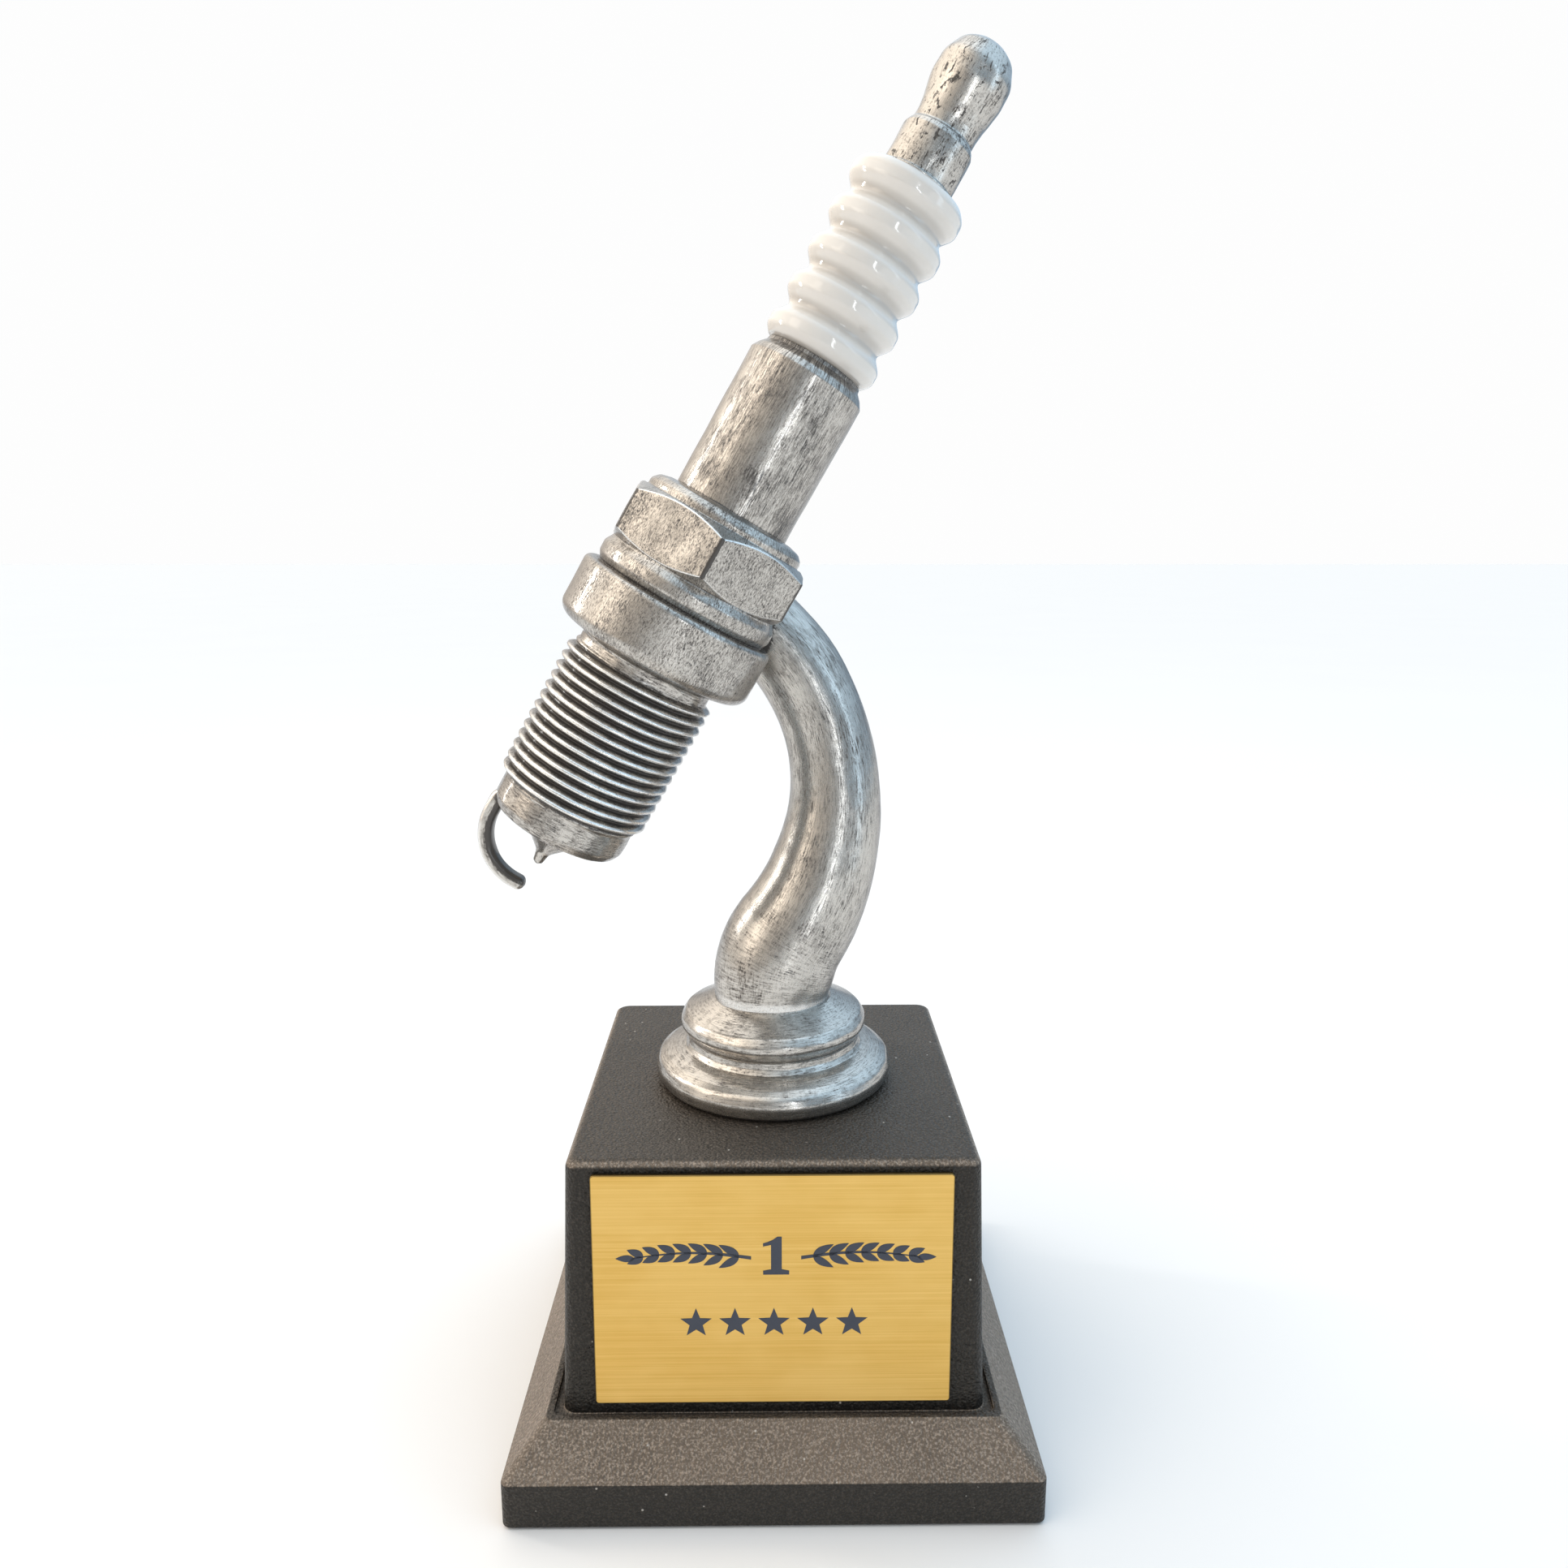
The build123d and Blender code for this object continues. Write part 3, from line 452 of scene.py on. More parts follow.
def pebble_black():
    """Black moulding with a pebbled grain, with painted glints on the crests, a painted highlight on the
    edges and a painted sheen on the upward faces.
    """
    look = Look("pebble_grain_black")
    spot = look.object_mm()
    pebbles = look.cells(spot, 2.2, "SMOOTH_F1")
    coarse = look.cells(look.mapped(spot, (1, 1, 1), shift=(3, 5, 7)), 0.95, "SMOOTH_F1")
    grain = look.noise(spot, 2.6, roughness=0.6)
    cloud = look.noise(spot, 0.06, detail=4)
    glint = look.range(look.noise(spot, 2.4, roughness=0.7), 0.44, 0.68)
    rise = look.split(look.add("ShaderNodeNewGeometry").outputs["Normal"])["Z"]
    # painted sheen: the plinth's chamfer is painted palest; the level top, which faces the sky, is darker
    # again
    upward_sheen = look.times(look.range(rise, 0.25, 0.62), look.range(rise, 0.72, 0.98, 1.0, 0.22))
    body = look.mix(cloud, BLACK_DEEP, BLACK_SOFT)
    # painted sheen on the upward faces, broken up by a cloud
    body = look.mix(look.times(upward_sheen, look.range(cloud, 0.35, 0.65, 0.72, 0.92)), body, BLACK_UPWARD_SHEEN)
    # painted glints on the pebble crests, strongest on the upward faces
    body = look.mix(look.times(glint, look.range(upward_sheen, 0.0, 1.0, 0.08, 0.80)), body, BLACK_GLINT)
    # painted highlight: the shell's outer edges are made paler
    body = look.mix(look.times(look.field("worn"), 0.6), body, BLACK_EDGE_HIGHLIGHT)
    dust = look.cells(look.mapped(spot, (1, 1, 1), shift=(0.3, 0.1, 0.7)), 0.34)
    pick = look.range(look.noise(spot, 0.21, detail=2), 0.49, 0.58)
    speck = look.times(look.range(dust, 0.085, 0.055), pick)
    body = look.mix(look.times(speck, 0.75), body, DUST)
    height = look.math("MULTIPLY_ADD", grain, 0.35, look.times(pebbles, -1.0))
    height = look.math("MULTIPLY_ADD", coarse, -0.7, height)
    look.set(
        Base_Color=body,
        Roughness=look.range(grain, 0.3, 0.7, 0.38, 0.56),
        Normal=look.bump(height, 0.26, 0.9),
        Specular_IOR_Level=0.40, Specular_Tint=(1.0, 0.93, 0.84),
    )
    return look.material


def brushed_gold():
    """Gold sheet brushed from side to side, dark on its cut edge."""
    look = Look("brushed_gold_plate")
    spot = look.object_mm()
    lines = look.noise(look.mapped(spot, (0.03, 1.0, 10.0)), detail=5, roughness=0.7)
    long_lines = look.noise(look.mapped(spot, (0.010, 1.0, 2.2), shift=(2, 0, 5)), detail=4, roughness=0.6)
    cloud = look.noise(look.mapped(spot, (0.05, 0.05, 0.09), shift=(8, 1, 3)))
    level = look.math("ADD", look.times(lines, 0.6), look.times(long_lines, 0.4))
    body = look.mix(look.range(level, 0.38, 0.62), (0.66, 0.405, 0.10), (0.75, 0.485, 0.147))
    body = look.mix(look.range(cloud, 0.35, 0.65, 0.0, 0.3), body, (0.84, 0.58, 0.21))
    body = look.mix(look.field("wash"), body, (0.10, 0.07, 0.03))
    look.set(
        Base_Color=body, Metallic=1.0,
        Roughness=look.range(level, 0.3, 0.7, 0.42, 0.28),
        Normal=look.bump(level, 0.015, 0.6),
    )
    return look.material


def plain_detail(name, colour, other, scale, relief, roughness, metallic=0.0, stretch=(1, 1, 1), detail=4.0):
    """A grained material: two tones, uneven roughness and a fine relief."""
    look = Look(name)
    spot = look.mapped(look.object_mm(), stretch)
    grain = look.noise(spot, scale, detail=detail, roughness=0.65)
    cloud = look.noise(spot, scale * 0.12)
    look.set(
        Base_Color=look.mix(look.times(look.math("ADD", grain, cloud), 0.5), colour, other),
        Roughness=look.range(grain, 0.3, 0.7, roughness - 0.08, roughness + 0.08),
        Metallic=metallic,
        Normal=look.bump(grain, relief, 0.6),
    )
    return look.material


def fibre_felt():
    """Black felt: two sets of fibres that cross."""
    look = Look("wool_felt")
    spot = look.object_mm()
    ways = look.mapped(spot, (3.5, 0.8, 2)), look.mapped(spot, (0.8, 3.5, 2), turn=(0, 0, 30))
    fibres = look.math("ADD", *(look.noise(way, detail=5, roughness=0.75, distortion=1.2) for way in ways))
    look.set(
        Base_Color=look.mix(look.range(fibres, 0.7, 1.3), (0.012, 0.012, 0.013), (0.055, 0.053, 0.052)),
        Roughness=look.range(fibres, 0.7, 1.3, 0.98, 0.88),
        Normal=look.bump(fibres, 0.18, 0.8), Sheen_Weight=0.25, Sheen_Roughness=0.5,
    )
    return look.material


# ---------- outlines along the plug, as (radius, height, rounding)
DISH = NOSE_END + DISH_DEPTH
NOSE_CORNERS = [
    (0, DISH), (9.7, DISH, 0.5), (10.5, NOSE_END, 0.3), (12.2, NOSE_END, 0.7),
    (NOSE_RADIUS, NOSE_END + 1.6, 1.6), (NOSE_RADIUS, COLLAR_FOOT - 1.0, 1.0),
    (NOSE_RADIUS + 1.3, COLLAR_FOOT, 0.2), (NOSE_RADIUS + 1.3, COLLAR_FOOT + 0.6), (0, COLLAR_FOOT + 0.6)]
COLLAR_CORNERS = [
    (0, COLLAR_FOOT), (COLLAR_RADIUS, COLLAR_FOOT, 2.6), (COLLAR_RADIUS, COLLAR_TOP, 1.2), (0, COLLAR_TOP)]
RING_CORNERS = [
    (0, COLLAR_TOP - 0.3), (16.6, COLLAR_TOP - 0.3, 0.2), (16.75, COLLAR_TOP + 0.25, 0.3),
    (RING_RADIUS, COLLAR_TOP + 1.5, 1.2), (RING_RADIUS, RING_TOP - 1.6, 1.3), (16.5, RING_TOP - 0.2, 0.3),
    (16.4, RING_TOP + 0.3), (0, RING_TOP + 0.3)]
HEX_FLAT = HEX_CORNER * cos(pi / 6)
HEX_DROP = (HEX_CORNER - HEX_FLAT) * 0.75
HEX_CORNERS = [
    (0, RING_TOP), (HEX_FLAT - 0.3, RING_TOP, 0.25), (HEX_CORNER + 0.1, RING_TOP + HEX_DROP, 0.3),
    (HEX_CORNER + 0.1, HEX_TOP - HEX_DROP, 0.3), (HEX_FLAT - 0.5, HEX_TOP, 0.3), (15.3, HEX_TOP, 0.25),
    (15.35, HEX_TOP + 1.2, 1.3), (14.2, HEX_TOP + 2.4, 1.4), (12.2, WASHER_TOP, 0.8),
    (BARREL_RADIUS, WASHER_TOP, 0.2), (BARREL_RADIUS - 0.2, WASHER_TOP + 0.4), (0, WASHER_TOP + 0.4)]
BARREL_CORNERS = [
    (0, WASHER_TOP - 0.4), (BARREL_RADIUS, WASHER_TOP - 0.4, 0.1), (BARREL_RADIUS, BARREL_TOP, 0.5),
    (BARREL_RADIUS - 0.75, BARREL_TOP + 1.2, 0.5), (CRIMP_RADIUS + 0.15, CRIMP_TOP - 0.7, 0.4),
    (CRIMP_RADIUS, CRIMP_TOP, 0.2), (CRIMP_RADIUS - 0.6, CRIMP_TOP + 0.1), (0, CRIMP_TOP + 0.1)]
CAP_CORNERS = [
    (0, INSULATOR_TOP - 0.3), (7.35, INSULATOR_TOP - 0.3, 0.1), (7.4, INSULATOR_TOP + 0.9, 0.3),
    (6.7, INSULATOR_TOP + 1.2, 0.2), (6.6, INSULATOR_TOP + 8.1, 0.5), (6.2, INSULATOR_TOP + 8.9, 0.5),
    (5.75, INSULATOR_TOP + 9.4, 0.6), (5.75, 79.6, 1.0), (5.95, 81.8, 5.0), (6.75, 86.0, 6.0),
    (6.55, 89.2, 4.0), (5.0, 92.3, 2.4), (3.4, CAP_TOP - 0.35, 1.5), (0, CAP_TOP)]
CREST_HALF, TOP_RIB_END, RIB_STEP = 0.65, 2.3, 0.25


def insulator_outline():
    """Broad crests with rounded shoulders, joined by hollow valleys, as a run of (radius, height) points."""
    foot = CRIMP_TOP - 0.4
    points = [(0.0, foot), (RIB_VALLEY - 0.4, foot), (RIB_VALLEY - 0.1, CRIMP_TOP + 0.1)]
    last_crest = RIB_FIRST + (RIB_COUNT - 1) * RIB_PITCH
    for height in np.arange(CRIMP_TOP + 0.5, last_crest + TOP_RIB_END, RIB_STEP):
        offset = abs((height - RIB_FIRST + RIB_PITCH / 2) % RIB_PITCH - RIB_PITCH / 2)
        crest_share = smooth(RIB_PITCH / 2, CREST_HALF, offset)
        points.append((RIB_VALLEY + (RIB_CREST - RIB_VALLEY) * float(crest_share), float(height)))
    return points + [
        (RIB_VALLEY - 0.1, INSULATOR_TOP - 0.12), (RIB_VALLEY - 0.5, INSULATOR_TOP), (0.0, INSULATOR_TOP)]


INSULATOR_RUN = insulator_outline()
PLUG_WALLS = [outline(c) for c in (NOSE_CORNERS, COLLAR_CORNERS, RING_CORNERS, HEX_CORNERS, BARREL_CORNERS,
                                   CAP_CORNERS)] + [np.array(INSULATOR_RUN)]

silver_barrel = antique_silver("barrel", along=(4.4, 4.4, 0.40), slant=(4.0, 4.0, 1.1), clump=0.20,
                               patch=0.26, dark_from=0.505, dark_to=0.635, wash_depth=0.18, gloss=0.14)
silver_speckle = antique_silver("speckle", along=(4.6, 4.6, 1.5), slant=(4.2, 4.2, 1.6), clump=0.15,
                                patch=0.22, dark_from=0.525, dark_to=0.625)
silver_nose = antique_silver("nose", along=(0.5, 0.5, 4.0), slant=(1.1, 1.1, 3.0), clump=0.20, patch=0.22,
                             dark_from=0.53, dark_to=0.64, wash_depth=0.26)
silver_hook = antique_silver("hook", along=(3.0, 3.0, 0.5), slant=(3.4, 3.4, 0.8), clump=0.20, patch=0.22,
                             dark_from=0.56, dark_to=0.66, wash_depth=0.24)
silver_cap = antique_silver("cap", along=(3.4, 3.4, 0.7), slant=(1.2, 1.2, 3.0), clump=0.22, patch=0.16,
                            dark_from=0.575, dark_to=0.65, pits=0.20, gloss=0.10)
silver_stem = antique_silver("stem", along=(4.4, 4.4, 0.42), slant=(4.2, 4.2, 0.70), clump=0.16, patch=0.18,
                             dark_from=0.55, dark_to=0.63, cross=(0.5, 0.5, 3.6), gloss=0.30)
silver_round = antique_silver("round", along=(0.30, 0.30, 3.8), slant=(0.9, 0.9, 3.0), clump=0.24, patch=0.18,
                              dark_from=0.56, dark_to=0.66, gloss=0.13)

# ---------- plug
# Nose: the outline below and above the thread, and a true right-handed helix between
NOSE_AROUND, THREAD_STEP, THREAD_ROUNDNESS, ROOT_FILL = 168, 0.13, 1.3, 0.15
nose_run = divided(outline(NOSE_CORNERS))
nose_run = nose_run[nose_run[:, 0] > 1e-6]
helix_rows = np.arange(THREAD_FOOT - 0.5, THREAD_TOP + 0.55, THREAD_STEP)
nose_line = np.vstack([
    nose_run[nose_run[:, 1] < THREAD_FOOT - 0.6],
    np.stack([np.full(len(helix_rows), NOSE_RADIUS), helix_rows], 1),
    nose_run[nose_run[:, 1] > THREAD_TOP + 0.6]])
nose_angle, station = even_angles(NOSE_AROUND), nose_line[:, 1:]
turns = (station - THREAD_FOOT) / THREAD_PITCH - nose_angle / tau
ridge = np.sin(np.abs(2 * (turns % 1) - 1) * pi / 2) ** THREAD_ROUNDNESS
fade = smooth(THREAD_FOOT - 0.4, THREAD_FOOT + 1.5, station)
fade = fade * smooth(THREAD_TOP + 0.5, THREAD_TOP - 0.9, station)
thread = (THREAD_CREST - NOSE_RADIUS) * ridge * fade + ROOT_FILL * (1 - ridge) * fade
nose_local = about_axis(nose_line[:, :1] + thread, nose_angle, station)
push_out(nose_local, 0.05 * wobble(nose_local, 5.0, 11), nose_angle)
nose_shut, nose_edge = (mark[:, None] for mark in marks_of(nose_line, PLUG_WALLS))
nose_wash = np.maximum(nose_shut * (1 - fade), fade * smooth(0.50, 0.20, ridge))
nose_worn = np.maximum(nose_edge * (1 - fade), 0.8 * fade * smooth(0.72, 0.95, ridge))
nose = skin("plug_nose", on_plug(nose_local), on_plug(on_axis(DISH)), on_plug(on_axis(COLLAR_FOOT + 0.6)),
            flow=about_axis(NOSE_RADIUS, nose_angle, station), wash=nose_wash, worn=nose_worn)
settle(nose, "figure", "antique_silver", silver_nose, "threaded_nose")


def plug_part(name, corners, look, node, slot="antique_silver", **shape):
    """A turned piece of the plug, in place."""
    settle(turned(name, corners, PLUG_WALLS, on_plug, **shape), "figure", slot, look, node)


plug_part("plug_collar", COLLAR_CORNERS, silver_speckle, "seat_collar", around=200, rough=0.03, seed=21)
plug_part("plug_groove_ring", RING_CORNERS, silver_speckle, "groove_ring", around=180, rough=0.08, seed=22)

# Hexagon: the turned outline held within the six flats, with soft edges where they meet
HEX_STEP, HEX_EVEN, HEX_GRAIN_RADIUS = 0.17, 240, 17.5
CORNER_REACH, CORNER_POINTS, CLOSEST_ANGLES = 0.045, 19, 0.002
SHARPNESS, EDGE_SOFT = 130.0, 0.11
hex_run = divided(outline(HEX_CORNERS), HEX_STEP)
off_axis = hex_run[:, 0] > 1e-6
hex_line = hex_run[off_axis]
first_corner = radians(HEX_TURN) - pi / 2
fine = [first_corner + k * pi / 3 + np.linspace(-CORNER_REACH, CORNER_REACH, CORNER_POINTS) for k in range(6)]
hex_angle = np.unique(np.round(np.concatenate([even_angles(HEX_EVEN), *fine]) % tau, 5))
hex_angle = hex_angle[np.concatenate([np.diff(hex_angle) > CLOSEST_ANGLES, [True]])]
facing = np.cos(hex_angle[:, None] - (first_corner + pi / 6 + np.arange(6) * pi / 3))
flats = HEX_FLAT / (np.clip(facing, 0, None) ** SHARPNESS).sum(1) ** (1 / SHARPNESS)
turned_radius = hex_line[:, :1]
gap = np.abs(turned_radius - flats)
held_radius = np.minimum(turned_radius, flats) - EDGE_SOFT * np.log1p(np.exp(-gap / EDGE_SOFT))
on_hex = (turned_radius > HEX_FLAT - 0.6) & (hex_line[:, 1:] < HEX_TOP + 0.01)
hex_local = about_axis(np.where(on_hex, held_radius, turned_radius), hex_angle, hex_line[:, 1:])
push_out(hex_local, 0.05 * wobble(hex_local, 6.0, 31), hex_angle)
hex_shut, hex_edge = (mark[off_axis][:, None] for mark in marks_of(hex_run, PLUG_WALLS))
from_corner = np.abs((hex_angle - first_corner + pi / 6) % (pi / 3) - pi / 6) * HEX_CORNER
# painted shade: a dark line down each corner of the hexagon, added to the wash in its recesses
corner_shade_line = smooth(0.50, 0.18, from_corner)[None] * smooth(-0.3, 0.0, turned_radius - flats)
hex_worn = np.where(on_hex, smooth(0.26, 0.04, gap), hex_edge)
hex_wash = np.maximum(hex_shut, np.where(on_hex, corner_shade_line, 0.0))
hex_flow = about_axis(HEX_GRAIN_RADIUS, hex_angle, arc_length(hex_line)[:, None])
hexagon = skin("plug_hexagon", on_plug(hex_local), on_plug(on_axis(RING_TOP)),
               on_plug(on_axis(WASHER_TOP + 0.4)), flow=hex_flow, wash=hex_wash,
               worn=hex_worn * (1 - hex_wash))
settle(hexagon, "figure", "antique_silver", silver_speckle, "hex_section")

plug_part("plug_barrel_skin", BARREL_CORNERS, silver_barrel, "plug_barrel", around=160, rough=0.035, seed=41,
          stained=(1, BARREL_TOP + 1.0, BARREL_TOP + 1.6, 0.5))
# the insulator's valleys are darkened by radius, as painted shade
plug_part("plug_insulator", INSULATOR_RUN, gloss_white(), "ribbed_insulator", slot="white_gloss", around=160,
          rough=0.025, seed=51, stained=(0, RIB_CREST - 0.5, RIB_VALLEY + 0.1, 0.55))
plug_part("plug_terminal", CAP_CORNERS, silver_cap, "terminal_cap", around=140, rough=0.10, seed=61)

# Centre electrode: a flared cone with a small rounded tip
TIP, CONE_END, CONE_RADIUS, FLARE = -69.4, -66.8, 1.4, 8.4
CONE_CORNERS = [
    (0, DISH + 0.3), (FLARE + 0.3, DISH + 0.3), (FLARE, DISH, 0.2), (CONE_RADIUS, CONE_END, 2.4),
    (0.95, TIP + 0.5, 0.3), (0.4, TIP + 0.04, 0.2), (0, TIP)]
plug_part("plug_centre_electrode", CONE_CORNERS, silver_hook, "centre_electrode", around=64, rough=0.04,
          seed=71, grain_radius=4.0)

# Ground electrode: a flat bar on a straight run, a quarter bend and a short tail
BAR_THICK, BAR_WIDTH, BAR_OFFSET, BAR_FOOT = 3.0, 4.2, -12.1, -59.2
STRAIGHT, BEND, TAIL = 5.2, 10.0, 2.2
BAR_AROUND, BAR_STEP, BAR_ROUND, BAR_SQUARE, BAR_TAPER, BAR_GRAIN_RADIUS = 56, 0.3, 1.4, 0.62, 0.12, 3
BAR_SINK, SINK_LENGTH = 0.55, 2.4
bar_length = STRAIGHT + BEND * pi / 2 + TAIL
tip_steps = bar_length - BAR_ROUND * (1 - np.sin(np.linspace(0, pi / 2, 9)))
bar_along = np.concatenate([np.arange(0, bar_length - BAR_ROUND, BAR_STEP), tip_steps])
bar_angle = even_angles(BAR_AROUND)


def squared(wave, width):
    """A cosine or sine made squarer, for a bar's section with round corners."""
    return np.sign(wave) * np.abs(wave) ** BAR_SQUARE * width / 2


bar_u, bar_v = squared(np.cos(bar_angle), BAR_THICK), squared(np.sin(bar_angle), BAR_WIDTH)
bar_rows, bar_wash, bar_worn = [], [], []
for length in bar_along:
    if length < STRAIGHT:
        centre, side = np.array([BAR_OFFSET, BAR_FOOT - length]), np.array([-1.0, 0.0])
    else:
        swept = min((length - STRAIGHT) / BEND, pi / 2)
        pivot = np.array([BAR_OFFSET + BEND, BAR_FOOT - STRAIGHT])
        side = np.array([-cos(swept), -sin(swept)])
        centre = pivot + BEND * side + max(0, length - STRAIGHT - BEND * pi / 2) * np.array([1.0, 0.0])
    to_end = bar_length - length
    size = sqrt(max(0.02, 1 - (1 - min(to_end / BAR_ROUND, 1)) ** 2))
    thin = 1 - BAR_TAPER * smooth(0, bar_length, length)
    # the outer side runs into the nose where the bar starts
    sink = np.where(bar_u > 0, 1 - BAR_SINK * smooth(SINK_LENGTH, 0.0, length), 1.0)
    points = centre + np.outer(bar_u * size * thin * sink, side)
    bar_rows.append(np.stack([points[:, 0], bar_v * size * thin, points[:, 1]], 1))
    # the inner half of the bar is darkened, and its outer half and tail end are made paler
    bar_wash.append(smooth(0.15, -0.55, bar_u) + 0.4 * smooth(3.2, 1.8, length))
    bar_worn.append(smooth(0.4, 1.2, bar_u) * 0.9 + 0.3 * smooth(1.5, 0.3, to_end))
bar_rows = np.array(bar_rows)
bar_rows[..., 1] += 0.04 * wobble(bar_rows, 3.0, 81)
hook = skin("plug_ground_electrode", on_plug(bar_rows), *(on_plug(bar_rows[i].mean(0)) for i in (0, -1)),
            flow=about_axis(BAR_GRAIN_RADIUS, bar_angle, bar_along[:, None]), wash=np.clip(bar_wash, 0, 1),
            worn=np.clip(bar_worn, 0, 1))
settle(hook, "figure", "antique_silver", silver_hook, "ground_electrode")

# ---------- stem
STEM_ARCS = ((22.5, -34.5), (50.0, 34.5), (44.0, 48.0))  # radius, degrees turned to the left
STEM_TAIL, STEM_END_ROUND, STEM_SUNK = 9.0, 5.5, 1.2
STEM_RADII = ((0, 11.3), (0.04, 12.0), (0.1, 12.1), (0.2, 11.4), (0.3, 10.55), (0.4, 9.7), (0.5, 8.9),
              (0.6, 8.4), (0.7, 8.3), (1, 8.3))  # share of the length, radius
STEM_STEP, STEM_AROUND, STEM_GRAIN_RADIUS = 0.55, 128, 9.5
STEM_UP = np.array([0, sin(STEM_LEAN), cos(STEM_LEAN)])
STEM_BACK = np.array([0, cos(STEM_LEAN), -sin(STEM_LEAN)])
STEM_FOOT = np.array([STEM_SHIFT, 0, PEDESTAL_TOP])
# height along the plug and its radius there, roughly, to find where the stem touches it
PLUG_PROFILE = ((-62, 0), (-56, 14), (-25.5, 14), (-24.4, 19), (-13, 19), (-8, 17.5), (2.8, 17.8), (5.7, 15),
                (33, 11), (40, 9))


def stem_line():
    """Points and headings of the stem's line in its own plane, evenly spaced."""
    here, heading = np.array([0.0, -STEM_SUNK]), pi / 2
    points, headings = [here.copy()], [heading]
    arcs = [(r * radians(abs(turn)), radians(turn) / (r * radians(abs(turn)))) for r, turn in STEM_ARCS]
    for length, bend in ((STEM_SUNK, 0.0), *arcs, (STEM_TAIL, 0.0)):
        steps = max(1, round(length / STEM_STEP))
        for _ in range(steps):
            heading += bend * length / steps / 2
            here = here + length / steps * unit(heading)
            heading += bend * length / steps / 2
            points.append(here.copy())
            headings.append(heading)
    return np.array(points), np.array(headings)


stem_points, stem_headings = stem_line()
stem_along = arc_length(stem_points) - STEM_SUNK
stem_length = stem_along[-1]
stem_radius = np.interp(np.clip(stem_along / stem_length, 0, 1), *np.array(STEM_RADII).T)
window = np.hanning(15)
stem_radius = np.convolve(np.pad(stem_radius, 6, "edge"), window[1:-1] / window.sum(), "valid")
to_end = stem_length - stem_along
end_drop = np.sqrt(np.maximum(STEM_END_ROUND ** 2 - (STEM_END_ROUND - to_end) ** 2, 0.0))
stem_radius = np.where(to_end < STEM_END_ROUND, stem_radius - STEM_END_ROUND + end_drop, stem_radius)
stem_angle = even_angles(STEM_AROUND)
stem_side = np.stack([np.sin(stem_headings), -np.cos(stem_headings)], 1)[:, None]
in_plane = stem_points[:, None] + stem_radius[:, None, None] * np.cos(stem_angle)[:, None] * stem_side
depth = stem_radius[:, None] * np.sin(stem_angle)
stem_local = np.stack([in_plane[..., 0], in_plane[..., 1], depth], -1)
stem_bulge = 0.07 * wobble(stem_local, 16.0, 91) + 0.012 * wobble(stem_local, 3.5, 92)
stem_local[..., :2] += (stem_bulge * np.cos(stem_angle))[..., None] * stem_side
stem_local[..., 2] += stem_bulge * np.sin(stem_angle)
stem_world = place(stem_local, STEM_FOOT, RIGHT, STEM_UP, STEM_BACK)
# the wash gathers where the stem runs up against the plug; near the foot the brush marks run across
from_plug = stem_world - PLUG_PLACE
plug_height = from_plug @ PLUG_Z
from_plug_axis = np.linalg.norm(from_plug - plug_height[..., None] * PLUG_Z, axis=-1)
plug_skin = np.interp(plug_height, *np.array(PLUG_PROFILE).T)
stem = skin("curved_stem_skin", stem_world, stem_world[0].mean(0), stem_world[-1].mean(0),
            flow=about_axis(STEM_GRAIN_RADIUS, stem_angle, stem_along[:, None]),
            wash=0.8 * smooth(0.9, 0.1, np.abs(from_plug_axis - plug_skin)),
            worn=0.6 * smooth(0.9, 0.3, stem_along)[:, None], cross=smooth(24, 7, stem_along)[:, None])
settle(stem, "figure", "antique_silver", silver_stem, "curved_stem")

# ---------- pedestal
PEDESTAL_CORNERS = [
    (0, BLOCK_TOP), (22.1, BLOCK_TOP, 0.5), (23.25, BLOCK_TOP + 0.9, 1.3), (23.75, BLOCK_TOP + 2.9, 2.2),
    (23.1, BLOCK_TOP + 4.9, 1.6), (21.6, BLOCK_TOP + 5.8, 2.0), (19.6, BLOCK_TOP + 6.5, 1.5),
    (17.75, BLOCK_TOP + 7.0, 0.5), (17.1, BLOCK_TOP + 7.9, 0.7), (16.95, BLOCK_TOP + 9.2, 0.6),
    (17.7, BLOCK_TOP + 10.2, 0.5), (18.6, BLOCK_TOP + 11.5, 1.5), (18.5, BLOCK_TOP + 12.9, 1.5),
    (17.6, BLOCK_TOP + 14.2, 1.2), (16.0, BLOCK_TOP + 14.9, 1.5), (12.6, PEDESTAL_TOP - 0.4, 0.6),
    (11.6, PEDESTAL_TOP, 0.2), (0, PEDESTAL_TOP)]
# the block top counts as a wall, so the pedestal's foot is painted darker where it sits on the block: painted
# shade
BLOCK_WALL = np.array([(0, BLOCK_TOP), (45, BLOCK_TOP)])
pedestal = turned("pedestal_skin", PEDESTAL_CORNERS, [outline(PEDESTAL_CORNERS), BLOCK_WALL], upright,
                  around=200, rough=0.09, seed=101)
settle(pedestal, "figure", "antique_silver", silver_round, "pedestal")

# ---------- base
SIDE_POINTS, SIDE_END_SHARE, PLAN_ARC_POINTS = 14, 0.004, 8


def square_ring(width, height, corner, level):
    """Points round a rounded rectangle, the same number for any size."""
    corner = min(corner, width / 2 - 1e-3, height / 2 - 1e-3)
    shares = (SIDE_END_SHARE, *np.linspace(0, 1, SIDE_POINTS + 1)[1:-1], 1 - SIDE_END_SHARE)
    points = []
    for quarter in range(4):
        start = quarter * pi / 2
        way, next_way = unit(start), np.array([-sin(start), cos(start)])
        reach, span = (width / 2, height / 2) if quarter % 2 == 0 else (height / 2, width / 2)
        a = way * reach - next_way * (span - corner)
        b = way * reach + next_way * (span - corner)
        points += [a + (b - a) * t for t in shares]
        centre = way * (reach - corner) + next_way * (span - corner)
        for k in range(PLAN_ARC_POINTS + 1):
            points.append(centre + corner * unit(start + k / PLAN_ARC_POINTS * pi / 2))
    return np.column_stack([points, np.full(len(points), level)])


